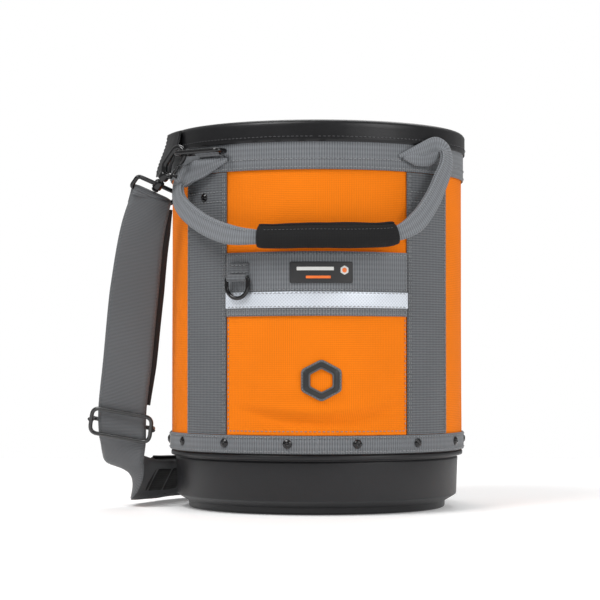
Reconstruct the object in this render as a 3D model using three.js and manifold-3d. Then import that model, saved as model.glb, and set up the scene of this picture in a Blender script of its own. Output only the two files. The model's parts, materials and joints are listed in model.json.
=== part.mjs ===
// Soft-sided tool bucket: a moulded base tub with a round fabric wall riveted to it, a stiff bound
// rim, two webbing handles, a front pocket and a shoulder strap on snap hooks.
// Millimetres, +Z up. The origin is the centre of the base's underside; the front faces -Y.
import * as THREE from 'three';
import { mergeVertices } from 'three/addons/utils/BufferGeometryUtils.js';
import Module from 'manifold-3d';

const wasm = await Module();
wasm.setup();

// ---------------------------------------------------------------- driving dimensions
const HEIGHT = 387;              // floor to the top of the rim
const WALL_R = 151.5;            // outside of the fabric wall
const SHEET = 1.5;               // fabric and webbing thickness
const GAP = 0.4;                 // air between layers that touch on the real bucket
const AROUND = 48;               // facets round the bucket
const BASE_TOP = 82;             // top of the tub's hidden collar
const LEDGE = 59;                // top of the tub's ledge, which the wall stands on
const RIM_SKIRT = 365;           // lower edge of the rim binding
const BAND_BOTTOM = 338;         // lower edge of the top webbing band
const TAPE_TOP = 78;             // upper edge of the riveted base binding
const STRIP_ANGLE = 47;          // vertical webbing strips, each side of the front centre line
const REAR_STRIP_ANGLE = 36;     // and each side of the rear centre line
const STRIP_WIDTH = 60;
const POCKET_TOP = 257;
const POCKET_BULGE = 9;          // how far the pocket's mouth stands off the wall
const RIVETS = 14;
const STRIP_RIVET_Z = 314;
const RIVET_OFFSET = 2.1;        // the rivet ring is turned a little from the front centre line
const WEBBING = 50;              // shoulder strap webbing width

// ---------------------------------------------------------------- general helpers
const DEG = Math.PI / 180;
const vec = (x, y, z) => new THREE.Vector3(x, y, z);

// A point at radius r and height z, turned by an angle from the front (-Y) towards +X.
function around(r, angle, z) {
  return vec(r * Math.sin(angle * DEG), -r * Math.cos(angle * DEG), z);
}

function spread(from, to, steps) {
  return Array.from({ length: steps + 1 }, (_, i) => from + ((to - from) * i) / steps);
}

// Positions only, shared vertices merged and faces turned outwards.
function closedGeometry(source) {
  const bare = new THREE.BufferGeometry();
  bare.setAttribute('position', source.getAttribute('position').clone());
  if (source.index) bare.setIndex(source.index.clone());
  const merged = mergeVertices(bare, 1e-3);
  const point = merged.getAttribute('position');
  const corner = [vec(), vec(), vec()];
  const kept = [];
  let volume = 0;
  for (let i = 0; i < merged.index.count; i += 3) {
    const face = [0, 1, 2].map((k) => merged.index.getX(i + k));
    if (new Set(face).size < 3) continue;
    face.forEach((index, k) => corner[k].fromBufferAttribute(point, index));
    volume += corner[0].dot(corner[1].clone().cross(corner[2]));
    kept.push(face);
  }
  const outward = volume < 0 ? kept.map((face) => face.reverse()) : kept;
  merged.setIndex(outward.flat());
  return merged;
}

// Skins a row of equal outlines; the row closes on itself or gets flat ends.
function loft(rings, { closed = false, section = null } = {}) {
  const size = rings[0].length;
  const positions = rings.flat().flatMap((p) => [p.x, p.y, p.z]);
  const faces = [];
  const spans = closed ? rings.length : rings.length - 1;
  for (let i = 0; i < spans; i += 1) {
    const a = i * size;
    const b = ((i + 1) % rings.length) * size;
    for (let k = 0; k < size; k += 1) {
      const n = (k + 1) % size;
      faces.push(a + k, a + n, b + n, a + k, b + n, b + k);
    }
  }
  if (!closed) {
    const last = (rings.length - 1) * size;
    const outline = section ?? polygon(size);
    for (const [p, q, r] of THREE.ShapeUtils.triangulateShape(outline, [])) {
      faces.push(p, r, q, last + p, last + q, last + r);
    }
  }
  const geometry = new THREE.BufferGeometry();
  geometry.setAttribute('position', new THREE.Float32BufferAttribute(positions, 3));
  geometry.setIndex(faces);
  return geometry;
}

function polygon(sides, radius = 1, squash = 1) {
  return Array.from({ length: sides }, (_, i) => {
    const turn = (2 * Math.PI * (i + 0.5)) / sides;
    return new THREE.Vector2(radius * Math.cos(turn), radius * squash * Math.sin(turn));
  });
}

// A ring or disc turned about Z from an [r, z] outline.
function turned(outline, segments = AROUND) {
  const points = outline.map(([r, z]) => new THREE.Vector2(r, z));
  if (outline[0][0] > 0) points.push(points[0].clone());
  const geometry = new THREE.LatheGeometry(points, segments);
  geometry.rotateX(Math.PI / 2);
  return geometry;
}

// A curved panel: inner(angle, z) and outer(angle, z) give its two faces' radii.
function panel(inner, outer, angles, levels) {
  const down = [...levels].reverse();
  const rings = angles.map((angle) => [
    ...levels.map((z) => around(outer(angle, z), angle, z)),
    ...down.map((z) => around(inner(angle, z), angle, z)),
  ]);
  const section = [
    ...levels.map((z) => new THREE.Vector2(outer(angles[0], z), z)),
    ...down.map((z) => new THREE.Vector2(inner(angles[0], z), z)),
  ];
  return loft(rings, { section });
}

// A strap of rectangular section; the guide gives [centre, face normal, width] along it.
function ribbon(guide, thickness, steps) {
  const centre = new THREE.CatmullRomCurve3(guide.map((g) => g[0]), false, 'centripetal');
  const facing = new THREE.CatmullRomCurve3(guide.map((g) => g[1]), false, 'centripetal');
  const rings = spread(0, 1, steps).map((u) => {
    const run = u * (guide.length - 1);
    const i = Math.min(Math.floor(run), guide.length - 2);
    const width = THREE.MathUtils.lerp(guide[i][2], guide[i + 1][2], run - i);
    const p = centre.getPoint(u);
    const tangent = centre.getTangent(u);
    const across = facing.getPoint(u).cross(tangent).normalize();
    const normal = tangent.clone().cross(across).normalize();
    return [[1, 1], [-1, 1], [-1, -1], [1, -1]].map(([w, t]) => p.clone()
      .addScaledVector(across, (w * width) / 2)
      .addScaledVector(normal, (t * thickness) / 2));
  });
  return loft(rings);
}

// A closed loop of round wire lying in its own XY plane.
function wireLoop(points, radius, sides = 8) {
  const rings = points.map((p, i) => {
    const before = points[(i + points.length - 1) % points.length];
    const after = points[(i + 1) % points.length];
    const along = after.clone().sub(before).normalize();
    return polygon(sides, radius).map(({ x, y }) => vec(p.x + along.y * x, p.y - along.x * x, y));
  });
  return loft(rings, { closed: true });
}

function roundedRectangle(width, height, corner, arcSteps = 3) {
  const points = [];
  const centres = [[1, 1, 0], [-1, 1, 90], [-1, -1, 180], [1, -1, 270]];
  for (const [sx, sy, start] of centres) {
    for (const turn of spread(start, start + 90, arcSteps)) {
      points.push(new THREE.Vector2(
        sx * (width / 2 - corner) + corner * Math.cos(turn * DEG),
        sy * (height / 2 - corner) + corner * Math.sin(turn * DEG),
      ));
    }
  }
  return points;
}

function box(width, depth, height, x, y, z) {
  return new THREE.BoxGeometry(width, depth, height).translate(x, y, z);
}

// A round bar between two points.
function bar(from, to, radius, sides = 12) {
  const length = from.distanceTo(to);
  const geometry = new THREE.CylinderGeometry(radius, radius, length, sides);
  const turn = new THREE.Quaternion().setFromUnitVectors(vec(0, 1, 0), to.clone().sub(from).normalize());
  geometry.applyQuaternion(turn);
  return geometry.translate(...from.clone().add(to).multiplyScalar(0.5));
}

function toManifold(geometry) {
  const closed = closedGeometry(geometry);
  return new wasm.Manifold(new wasm.Mesh({
    numProp: 3,
    vertProperties: new Float32Array(closed.getAttribute('position').array),
    triVerts: new Uint32Array(closed.index.array),
  }));
}

function fromManifold(result) {
  const mesh = result.getMesh();
  const geometry = new THREE.BufferGeometry();
  geometry.setAttribute('position', new THREE.BufferAttribute(new Float32Array(mesh.vertProperties), 3));
  geometry.setIndex(Array.from(mesh.triVerts));
  return geometry;
}

function joined(parts, cuts = []) {
  const whole = parts.map(toManifold).reduce((a, b) => a.add(b));
  return fromManifold(cuts.map(toManifold).reduce((a, b) => a.subtract(b), whole));
}

// Moves a shape from its own axes to a place: origin, and where its X and Z axes point.
function frameAt(origin, xAxis, zAxis) {
  const z = zAxis.clone().normalize();
  const x = xAxis.clone().addScaledVector(z, -xAxis.dot(z)).normalize();
  const matrix = new THREE.Matrix4().makeBasis(x, z.clone().cross(x), z);
  return matrix.setPosition(origin);
}

// ---------------------------------------------------------------- materials
function finish(color, roughness, metalness = 0) {
  return new THREE.MeshStandardMaterial({ color, roughness, metalness });
}

const orangeFabric = finish(0xf27a1c, 0.85);
const greyWebbing = finish(0x74777b, 0.9);
const blackPlastic = finish(0x303135, 0.5);
const blackVinyl = finish(0x28282b, 0.45);
const blackMetal = finish(0x1c1c1e, 0.3, 0.8);
const blackFabric = finish(0x232325, 0.9);
const silverTape = finish(0xc8ced8, 0.4);
const foam = finish(0x3a3b3e, 0.95);
const whitePlastic = finish(0xd8d8d4, 0.6);
const labelPrint = finish(0x2a2a2c, 0.7);

const bucket = new THREE.Group();

function add(name, geometry, material, parent = bucket) {
  const mesh = new THREE.Mesh(closedGeometry(geometry), material);
  mesh.name = name;
  parent.add(mesh);
  return mesh;
}

// ---------------------------------------------------------------- base, wall and rim
const TUB_OUTLINE = [
  [0, 0], [131.5, 0], [133.5, 2], [133.5, 7], [145.5, 14], [147, 52], [145.8, 52.5], [145.8, 54],
  [152, 54.5], [152, LEDGE], [149.7, LEDGE + 0.5], [149.7, BASE_TOP], [146.5, BASE_TOP],
  [146.5, LEDGE + 2.5], [143, LEDGE + 2.5], [140, 18], [130, 6], [0, 5],
];

function rectangleRing(inner, outer, bottom, top) {
  return turned([[inner, bottom], [outer, bottom], [outer, top], [inner, top]]);
}

function addBody() {
  add('base_tub', turned(TUB_OUTLINE), blackPlastic);
  add('base_pad', turned([[0, 6.4], [127, 6.4], [127, 10.4], [0, 10.4]], 36), foam);
  add('body_shell', rectangleRing(WALL_R - SHEET, WALL_R, LEDGE + 1, 378), orangeFabric);
  add('wall_stiffener', rectangleRing(147.4, 149.6, BASE_TOP + 1, 377), whitePlastic);
  add('inner_lining', rectangleRing(144.9, 146.2, LEDGE + 3, 378), blackFabric);
  const hoop = Array.from({ length: 6 }, (_, i) => [
    149.5 + 2.5 * Math.cos(i * 60 * DEG), 381 + 2.5 * Math.sin(i * 60 * DEG),
  ]);
  add('rim_hoop', turned(hoop), blackPlastic);
  add('rim_binding', turned([
    [155.5, RIM_SKIRT], [155.5, 383.5], [154, 386.2], [151, HEIGHT], [147, HEIGHT], [144.2, 386.2],
    [142.8, 383.5], [142.8, RIM_SKIRT], [144.4, RIM_SKIRT], [144.4, 384.3], [153.8, 384.3],
    [153.8, RIM_SKIRT],
  ]), blackVinyl);
  add('top_band', rectangleRing(WALL_R + GAP, WALL_R + GAP + SHEET, BAND_BOTTOM, 380), greyWebbing);
  add('base_binding', rectangleRing(WALL_R + GAP, WALL_R + GAP + SHEET, LEDGE + 1.4, TAPE_TOP), greyWebbing);
}

const STRIP_PLACES = {
  front_left: -STRIP_ANGLE,
  front_right: STRIP_ANGLE,
  rear_right: 180 - REAR_STRIP_ANGLE,
  rear_left: 180 + REAR_STRIP_ANGLE,
};

// A sheet of even thickness lying on the wall.
function wallSheet(centre, halfAngle, bottom, top, inner = WALL_R + GAP, thickness = SHEET, steps = 6) {
  const angles = spread(centre - halfAngle, centre + halfAngle, steps);
  return panel(() => inner, () => inner + thickness, angles, [bottom, top]);
}

function addStrips() {
  const half = STRIP_WIDTH / 2 / WALL_R / DEG;
  for (const [side, angle] of Object.entries(STRIP_PLACES)) {
    add(`strip_${side}`, wallSheet(angle, half, TAPE_TOP + GAP, BAND_BOTTOM - GAP), greyWebbing);
  }
}

function addInside() {
  const reach = 120;
  const angles = spread(180 - reach, 180 + reach, 40);
  add('inner_pocket_panel', panel(() => 142.9, () => 144.3, angles, [LEDGE + 4, 200]), blackFabric);
  add('tool_loop_band', panel(() => 142.9, () => 144.3, angles, [250, 285]), greyWebbing);
}

// ---------------------------------------------------------------- rivets
function rivet() {
  return turned([[0, 0], [4.5, 0], [4.5, 0.8], [2.8, 2], [0, 2.2]], 10);
}

function addRivet(name, r, angle, z) {
  const mesh = add(name, rivet(), blackMetal);
  mesh.position.copy(around(r, angle, z));
  mesh.quaternion.setFromUnitVectors(vec(0, 0, 1), around(1, angle, 0));
}

function addRivets() {
  const skin = WALL_R + GAP + SHEET + GAP;
  for (let i = 0; i < RIVETS; i += 1) {
    const angle = ((i + 0.5) * 360) / RIVETS + RIVET_OFFSET;
    addRivet(`base_rivet_${String(i + 1).padStart(2, '0')}`, skin, angle, 70);
  }
  for (const [side, angle] of Object.entries(STRIP_PLACES)) {
    addRivet(`strip_rivet_${side}`, skin, angle, STRIP_RIVET_Z);
  }
}

// ---------------------------------------------------------------- front pocket
const POCKET_REACH = 35.2;
const pocketAngles = spread(-POCKET_REACH, POCKET_REACH, 14);

function pocketInner(angle, z) {
  const acrossFade = Math.cos((angle / POCKET_REACH) * 90 * DEG) ** 2;
  const upFade = THREE.MathUtils.smoothstep(z, TAPE_TOP, 125);
  return WALL_R + GAP + POCKET_BULGE * acrossFade * upFade;
}

const pocketOuter = (angle, z) => pocketInner(angle, z) + SHEET;

// A sheet lying on the pocket, lifted off it by a number of layers below.
function pocketSheet(angles, levels, lift, thickness) {
  const under = (angle, z) => pocketOuter(angle, z) + lift;
  return panel(under, (angle, z) => under(angle, z) + thickness, angles, levels);
}

function addPocket() {
  const levels = [TAPE_TOP + GAP, 88, 98, 110, 125, 180, POCKET_TOP];
  add('front_pocket', panel(pocketInner, pocketOuter, pocketAngles, levels), orangeFabric);
  add('pocket_band', pocketSheet(pocketAngles, [194.6, POCKET_TOP], GAP, SHEET), greyWebbing);
  add('reflective_tape', pocketSheet(pocketAngles, [202.5, 218], 2 * GAP + SHEET, 0.6), silverTape);
  const labelAngles = spread(-9.7, 12.9, 5);
  add('label_patch', pocketSheet(labelAngles, [226.4, 247], 2 * GAP + SHEET, 1.2), labelPrint);
}

// A raised hexagonal ring on the pocket.
function addBadge() {
  const shape = new THREE.Shape(polygon(6, 23, 0.9));
  shape.holes.push(new THREE.Path(polygon(6, 15, 0.9)));
  const geometry = new THREE.ExtrudeGeometry(shape, { depth: 2.5, bevelEnabled: false });
  const angle = 1.6;
  const z = 132;
  const mesh = add('badge', geometry, blackPlastic);
  mesh.position.copy(around(pocketOuter(angle, z) + GAP + 0.3, angle, z));
  mesh.quaternion.setFromRotationMatrix(frameAt(vec(), around(1, angle + 90, 0), around(1, angle, 0)));
}

// ---------------------------------------------------------------- D-ring on the pocket
const DRING_ANGLE = -29;
const DRING_WIRE = 2;
const DRING_Z = 232;
const DRING_R = pocketOuter(DRING_ANGLE, DRING_Z) + 2 * GAP + SHEET + 4.4;

function addDRing() {
  const outward = around(1, DRING_ANGLE, 0);
  const side = around(1, DRING_ANGLE + 90, 0);
  // Webbing tab: a flat tail with a hem round the ring's straight bar, drawn side-on.
  const tail = box(20, 1.4, 14, 0, 3.3, 9.2);
  const hem = bar(vec(-10, 0, 0), vec(10, 0, 0), 3.9);
  const bore = bar(vec(-11, 0, 0), vec(11, 0, 0), DRING_WIRE + 0.5);
  const tab = add('d_ring_tab', joined([tail, hem], [bore]), greyWebbing);
  tab.position.copy(around(DRING_R, DRING_ANGLE, DRING_Z));
  tab.quaternion.setFromRotationMatrix(frameAt(vec(), side, vec(0, 0, 1)));
  // The D: a straight bar and a half-round bow of the same wire.
  const outline = [vec(12, 0, 0), vec(0, 0, 0), vec(-12, 0, 0), vec(-12, -7, 0)];
  for (const turn of spread(200, 340, 7)) {
    outline.push(vec(12.2 * Math.cos(turn * DEG), -7 + 12.2 * Math.sin(turn * DEG), 0));
  }
  outline.push(vec(12, -7, 0));
  const ring = add('d_ring', wireLoop(outline, DRING_WIRE), blackMetal);
  ring.position.copy(around(DRING_R, DRING_ANGLE, DRING_Z));
  ring.quaternion.setFromRotationMatrix(frameAt(vec(), side, outward));
}

// ---------------------------------------------------------------- handles
const FOLD_WIDTH = 20;           // handle webbing folded lengthwise
const GRIPPED_WIDTH = 13;
const FOLD_THICK = 5;
const FRONT_HANDLE = [
  vec(-108, -114.5, 337), vec(-124, -103, 338), vec(-138, -89, 330), vec(-138, -99, 312),
  vec(-118, -125, 290), vec(-88, -149, 275), vec(-57, -164, 271), vec(0, -174, 271),
  vec(40, -170.5, 271), vec(77, -157.5, 274.5), vec(97, -144, 286), vec(112, -130.5, 306),
  vec(122.5, -117, 328), vec(129.5, -107.5, 348), vec(128, -103, 361), vec(118, -111, 352),
];
const GRIP_FROM = 6;             // guide points that the grip covers
const GRIP_TO = 9;

const flatOutward = (p) => vec(p.x, p.y, 0).normalize();

// The webbing is gathered to a narrower roll inside the grip.
function handleGuide(points, gripped = () => false) {
  return points.map((p, i) => [p, flatOutward(p), gripped(i) ? GRIPPED_WIDTH : FOLD_WIDTH]);
}

// The grip's centre line is the handle's, between the grip's two ends.
function gripRings(section) {
  const curve = new THREE.CatmullRomCurve3(FRONT_HANDLE, false, 'centripetal');
  const last = FRONT_HANDLE.length - 1;
  return spread(GRIP_FROM / last, GRIP_TO / last, 8).map((u) => {
    const p = curve.getPoint(u);
    const tangent = curve.getTangent(u);
    const up = tangent.clone().cross(flatOutward(p)).normalize();
    const out = up.clone().cross(tangent).normalize();
    const outward = out.dot(p) < 0 ? out.negate() : out;
    const upward = up.z < 0 ? up.negate() : up;
    return section.map(({ x, y }) => p.clone().addScaledVector(outward, x).addScaledVector(upward, y));
  });
}

// A bent strip of even thickness, given as a C-shaped outline of [out, up].
function cShape(radiusOut, radiusUp, thickness, from, to, steps) {
  const arc = (grow, turns) => turns.map((turn) => new THREE.Vector2(
    (radiusOut + grow) * Math.cos(turn * DEG), (radiusUp + grow) * Math.sin(turn * DEG),
  ));
  const turns = spread(from, to, steps);
  return [...arc(thickness, turns), ...arc(0, [...turns].reverse())];
}

function addHandles() {
  const gripped = (i) => i >= GRIP_FROM && i <= GRIP_TO;
  add('front_handle_strap', ribbon(handleGuide(FRONT_HANDLE, gripped), FOLD_THICK, 45), greyWebbing);
  const wrap = cShape(6, 9.3, 2, 85, 272, 8);
  add('grip_wrap', loft(gripRings(wrap), { section: wrap }), blackFabric);
  const flap = cShape(6.2, 9.5, 2, -80, 79, 8);
  add('grip_flap', loft(gripRings(flap), { section: flap }), blackFabric);
  const rear = [
    [84, 133.5], [84, 135], [81, 140], [70, 150], [50, 160], [25, 166.5],
  ];
  const heights = [337, 330, 314, 296, 281, 273];
  const half = rear.map(([x, y], i) => vec(x, y, heights[i]));
  const rest = [...half].reverse().map((p) => vec(-p.x, p.y, p.z));
  const points = [...half, vec(0, 168.5, 271), ...rest];
  add('rear_handle_strap', ribbon(handleGuide(points), FOLD_THICK, 40), greyWebbing);
}

// ---------------------------------------------------------------- strap rings, hooks and guards
// Each side's ring, loop and hook are drawn about the ring's inner bar: X along the bar, Y outwards.
const RING_AZIMUTH = -36.87;
const RING_BAR_R = 158.2;        // inner bar, from the bucket's axis
const RING_Z = 358;
const RING_SHIFT = -20;          // ring's middle along its bar, from the azimuth line
const RING_LONG = 55;            // between the centres of its short bars
const RING_DEEP = 15;            // between the centres of its long bars
const RING_WIRE = 2.4;
const HOOK_DROP = 40;            // ring's short bar to the middle of the swivel
const LEFT_DROP = vec(-0.549, 0.412, -0.726);
const RIGHT_DROP = vec(0, 0, -1);

const half = (angle) => around(1, angle, 0);

function sideFrame(turn) {
  const azimuth = RING_AZIMUTH + turn;
  const origin = around(RING_BAR_R, azimuth, RING_Z);
  return { azimuth, outward: half(azimuth), along: half(azimuth + 90), origin };
}

function addRing(side, turn) {
  const { outward, along, origin } = sideFrame(turn);
  const centre = origin.clone().addScaledVector(along, RING_SHIFT);
  const outline = roundedRectangle(RING_LONG, RING_DEEP, 5, 2)
    .map(({ x, y }) => vec(x, y - RING_DEEP / 2, 0));
  const ring = add(`strap_ring_${side}`, wireLoop(outline, RING_WIRE), blackMetal);
  ring.position.copy(centre);
  ring.quaternion.setFromRotationMatrix(frameAt(vec(), along, vec(0, 0, 1)));
  // Webbing loop sewn to the top band, hemmed round the inner bar.
  const tail = box(30, 1.2, 6, 0, 3.6, -5.6);
  const hem = bar(vec(-15, 0, 0), vec(15, 0, 0), 4.2);
  const bore = bar(vec(-16, 0, 0), vec(16, 0, 0), RING_WIRE + 0.5);
  const loop = add(`ring_loop_${side}`, joined([tail, hem], [bore]), greyWebbing);
  loop.position.copy(origin.clone().addScaledVector(along, RING_SHIFT * 0.75));
  loop.quaternion.setFromRotationMatrix(frameAt(vec(), along, vec(0, 0, 1)));
}

// The hook in its own axes: +Z from the swivel to the top of the hook, X across its mouth.
const HOOK_WIRE = 2.8;
const HOOK_BOW = 7.6;

function hookBody() {
  const bow = spread(0, 180, 6).map((turn) => vec(HOOK_BOW * Math.cos(turn * DEG), 0, HOOK_BOW * Math.sin(turn * DEG)));
  const route = [vec(3, 0, -26), vec(HOOK_BOW, 0, -17), ...bow, vec(-HOOK_BOW, 0, -5)];
  const wire = new THREE.ExtrudeGeometry(new THREE.Shape(polygon(8, HOOK_WIRE)), {
    steps: 18, bevelEnabled: false, extrudePath: new THREE.CatmullRomCurve3(route, false, 'centripetal'),
  });
  const boss = bar(vec(0, 0, -32), vec(0, 0, -23), 5.5);
  const pin = bar(vec(0, 0, -46.5), vec(0, 0, -31), 2.2);
  const head = bar(vec(0, 0, -46.5), vec(0, 0, -44.5), 3.9);
  return joined([wire, boss, pin, head]);
}

function hookGate() {
  const lever = bar(vec(-HOOK_BOW, 0, -21.5), vec(-HOOK_BOW, 0, -8.5), 1.6, 8);
  const knob = bar(vec(-13, 0, -18), vec(-HOOK_BOW, 0, -18), 1.8, 8);
  return joined([lever, knob]);
}

function endLoop() {
  const outline = roundedRectangle(48, 14, 4, 2).map(({ x, y }) => vec(x, y - 7, 0));
  const ring = wireLoop(outline, 2.2).rotateX(Math.PI / 2);
  const barrel = bar(vec(0, 0, -4), vec(0, 0, 4), 4.8);
  const bore = bar(vec(0, 0, -6), vec(0, 0, 6), 2.7);
  return joined([ring, barrel], [bore]);
}

function addHook(side, turn, drop, loopAlong) {
  const { outward, along, origin } = sideFrame(turn);
  const up = drop.clone().normalize().negate();
  const mouth = up.clone().cross(outward).normalize().multiplyScalar(-1);
  const caught = origin.clone()
    .addScaledVector(along, RING_SHIFT - RING_LONG / 2)
    .addScaledVector(outward, RING_DEEP / 2)
    .addScaledVector(up, -HOOK_BOW + HOOK_WIRE + RING_WIRE + 2 * GAP);
  const hook = new THREE.Group();
  hook.position.copy(caught);
  hook.quaternion.setFromRotationMatrix(frameAt(vec(), mouth, up));
  bucket.add(hook);
  add(`snap_hook_${side}`, hookBody(), blackMetal, hook);
  add(`hook_gate_${side}`, hookGate(), blackMetal, hook);
  const loop = add(`end_loop_${side}`, endLoop(), blackMetal);
  loop.position.copy(caught.clone().addScaledVector(up, -HOOK_DROP + 1));
  loop.quaternion.setFromRotationMatrix(frameAt(vec(), loopAlong, up));
  return loop.position.clone();
}

// Vinyl flap that hangs from the rim beside the ring and keeps the hook off the fabric.
function addGuard(side, turn, flare) {
  const inner = (angle, z) => 156 + flare * THREE.MathUtils.smoothstep(385 - z, 0, 46);
  const outer = (angle, z) => inner(angle, z) + 2;
  const angles = spread(turn - 78.5, turn - 61, 4);
  add(`rim_guard_${side}`, panel(inner, outer, angles, [341, 352, 364, 375, 385]), blackVinyl);
}

// ---------------------------------------------------------------- shoulder strap
const STRAP = 2.4;               // doubled webbing
const LEFT_LOOP_ALONG = vec(0.808, 0.484, -0.336);
const RIGHT_LOOP_ALONG = vec(-0.6, 0.8, 0);
const PAD_R = 172;
const PAD_LEAN = 28;             // the pad's upper edge leans in against the base
const PAD_Z = 24;

// A point and leaning face normal on the stretch that lies on the floor round the base.
function floorPoint(angle, lift = 0, r = PAD_R) {
  const out = around(1, angle, 0);
  const normal = out.clone().multiplyScalar(Math.cos(PAD_LEAN * DEG)).add(vec(0, 0, Math.sin(PAD_LEAN * DEG)));
  return [around(r, angle, PAD_Z + 0.5).addScaledVector(normal, lift), normal];
}

function strapGuide(leftSwivel, rightSwivel) {
  const leftStart = leftSwivel.clone().addScaledVector(LEFT_DROP, 21);
  const rightEnd = rightSwivel.clone().addScaledVector(RIGHT_DROP, 19);
  const leftFace = LEFT_LOOP_ALONG.clone().cross(LEFT_DROP).normalize().negate();
  const rightFace = around(1, 127, 0);
  const floor = spread(-106, -216, 9).map((angle) => [...floorPoint(angle), WEBBING - 3]);
  return [
    [leftStart, leftFace, 42],
    [vec(-176, -82, 282), vec(0.35, -0.93, 0.1), 46],
    [vec(-186, -64, 220), vec(0.2, -0.97, 0.2), WEBBING],
    [vec(-194, -50, 150), vec(0.05, -0.98, 0.15), WEBBING],
    [vec(-200, -41, 99), vec(-0.05, -1, 0.1), WEBBING],
    [vec(-200, -37, 70), vec(-0.2, -0.97, 0.1), WEBBING],
    [vec(-200, -25, 46), vec(-0.45, -0.88, 0.1), WEBBING],
    [vec(-189, -5, 30), vec(-0.8, -0.5, 0.3), WEBBING - 2],
    ...floor,
    [around(172.5, 137, 28), vec(0.7, 0.66, 0.25), WEBBING - 2],
    [around(172, 130.5, 45), vec(0.77, 0.63, 0.1), WEBBING],
    [vec(137, 103.5, 80), rightFace, WEBBING],
    [vec(137, 103.5, 190), rightFace, WEBBING],
    [rightEnd.clone().add(vec(0, 0, -25)), rightFace, 46],
    [rightEnd, rightFace, 42],
  ];
}

function addSlider(centre, face, along) {
  const frame = roundedRectangle(63, 26, 4, 2).map(({ x, y }) => vec(x, y, 0));
  const front = wireLoop(frame, 2).translate(0, 0, 5);
  const back = bar(vec(-31, 0, -5.4), vec(31, 0, -5.4), 2.2, 8);
  const sides = [-31.5, 31.5].map((x) => bar(vec(x, 0, -6.4), vec(x, 0, 5.8), 2.2, 8));
  const slider = add('strap_slider', joined([front, back, ...sides]), blackMetal);
  slider.position.copy(centre);
  slider.quaternion.setFromRotationMatrix(frameAt(vec(), along, face));
}

function addShoulderStrap() {
  const leftSwivel = addHook('left', 0, LEFT_DROP, LEFT_LOOP_ALONG);
  const rightSwivel = addHook('right', 180, RIGHT_DROP, RIGHT_LOOP_ALONG);
  add('shoulder_strap', ribbon(strapGuide(leftSwivel, rightSwivel), STRAP, 84), greyWebbing);
  const pad = spread(-114, -207, 14).map((angle) => {
    const [place, normal] = floorPoint(angle, 6.6);
    return [place, normal, WEBBING];
  });
  add('shoulder_pad', ribbon(pad, 8, 24), blackFabric);
  addSlider(vec(-200.3, -39.5, 86), vec(-0.13, -0.985, -0.13), vec(0.976, -0.11, -0.165));
}

addBody();
addStrips();
addInside();
addRivets();
addPocket();
addBadge();
addDRing();
addHandles();
for (const [side, turn] of [['left', 0], ['right', 180]]) {
  addRing(side, turn);
  addGuard(side, turn, side === 'left' ? 12 : 1);
}
addShoulderStrap();

export default bucket;
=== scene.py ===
# Soft-sided tool bucket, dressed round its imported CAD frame. Metres, +Z up, the front faces -Y.
import json
import math
import random

import bmesh
import bpy
import numpy as np
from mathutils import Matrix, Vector

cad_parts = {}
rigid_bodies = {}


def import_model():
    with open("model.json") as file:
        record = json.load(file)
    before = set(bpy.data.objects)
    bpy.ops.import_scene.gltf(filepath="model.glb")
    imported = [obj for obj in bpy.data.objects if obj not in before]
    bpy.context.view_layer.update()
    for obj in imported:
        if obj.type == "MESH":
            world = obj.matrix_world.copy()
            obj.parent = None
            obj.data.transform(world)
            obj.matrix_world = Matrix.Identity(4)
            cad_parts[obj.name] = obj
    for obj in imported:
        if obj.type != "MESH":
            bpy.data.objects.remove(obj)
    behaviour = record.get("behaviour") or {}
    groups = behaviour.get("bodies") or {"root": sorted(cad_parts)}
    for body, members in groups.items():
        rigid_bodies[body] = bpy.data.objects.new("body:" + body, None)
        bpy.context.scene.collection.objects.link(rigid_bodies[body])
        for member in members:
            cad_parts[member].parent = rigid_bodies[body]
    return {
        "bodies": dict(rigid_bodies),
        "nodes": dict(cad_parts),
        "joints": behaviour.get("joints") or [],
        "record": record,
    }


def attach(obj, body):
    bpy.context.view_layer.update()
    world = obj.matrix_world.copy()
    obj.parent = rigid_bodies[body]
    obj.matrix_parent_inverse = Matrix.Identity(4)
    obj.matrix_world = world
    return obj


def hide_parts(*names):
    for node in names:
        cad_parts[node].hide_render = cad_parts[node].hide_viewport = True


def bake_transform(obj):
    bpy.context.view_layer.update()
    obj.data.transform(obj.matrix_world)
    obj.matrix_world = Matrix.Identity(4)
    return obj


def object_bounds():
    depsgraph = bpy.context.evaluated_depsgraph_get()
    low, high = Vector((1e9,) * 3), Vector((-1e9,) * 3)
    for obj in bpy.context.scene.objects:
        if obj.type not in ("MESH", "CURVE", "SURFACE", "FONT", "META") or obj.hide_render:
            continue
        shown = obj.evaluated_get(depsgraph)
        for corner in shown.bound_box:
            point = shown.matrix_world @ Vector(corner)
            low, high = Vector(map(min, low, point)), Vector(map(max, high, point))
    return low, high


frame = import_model()
CAD_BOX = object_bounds()
MM = 0.001

# ------------------------------------------------------------------ sizes, in millimetres
WALL_R = 151.5
LAYER = 1.5
SKIN_R = WALL_R + 0.5
BAND_BOTTOM = 338.0
TAPE_BOTTOM, TAPE_TOP = 60.4, 78.0
STRIP_HALF = 11.35                 # degrees, half a strip's width
STRIPS = {"front_left": -47.0, "front_right": 47.0, "rear_right": 144.0, "rear_left": 216.0}
POCKET_REACH, POCKET_TOP, POCKET_BULGE = 35.2, 257.0, 9.0
POCKET_R = 164.0                   # turns millimetres along the pocket's face into angles
POCKET_MIDDLE = 1.6                # degrees, where the badge and the label are centred
BADGE_CENTRE = (POCKET_MIDDLE, 132.0)


# ------------------------------------------------------------------ small geometry helpers
def around(r, angle, z):
    """Points at radius r and height z, turned from the front towards +X, in millimetres."""
    a = np.radians(angle)
    r, a, z = np.broadcast_arrays(np.asarray(r, float), a, np.asarray(z, float))
    return np.stack([r * np.sin(a), -r * np.cos(a), z], axis=-1)


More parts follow.
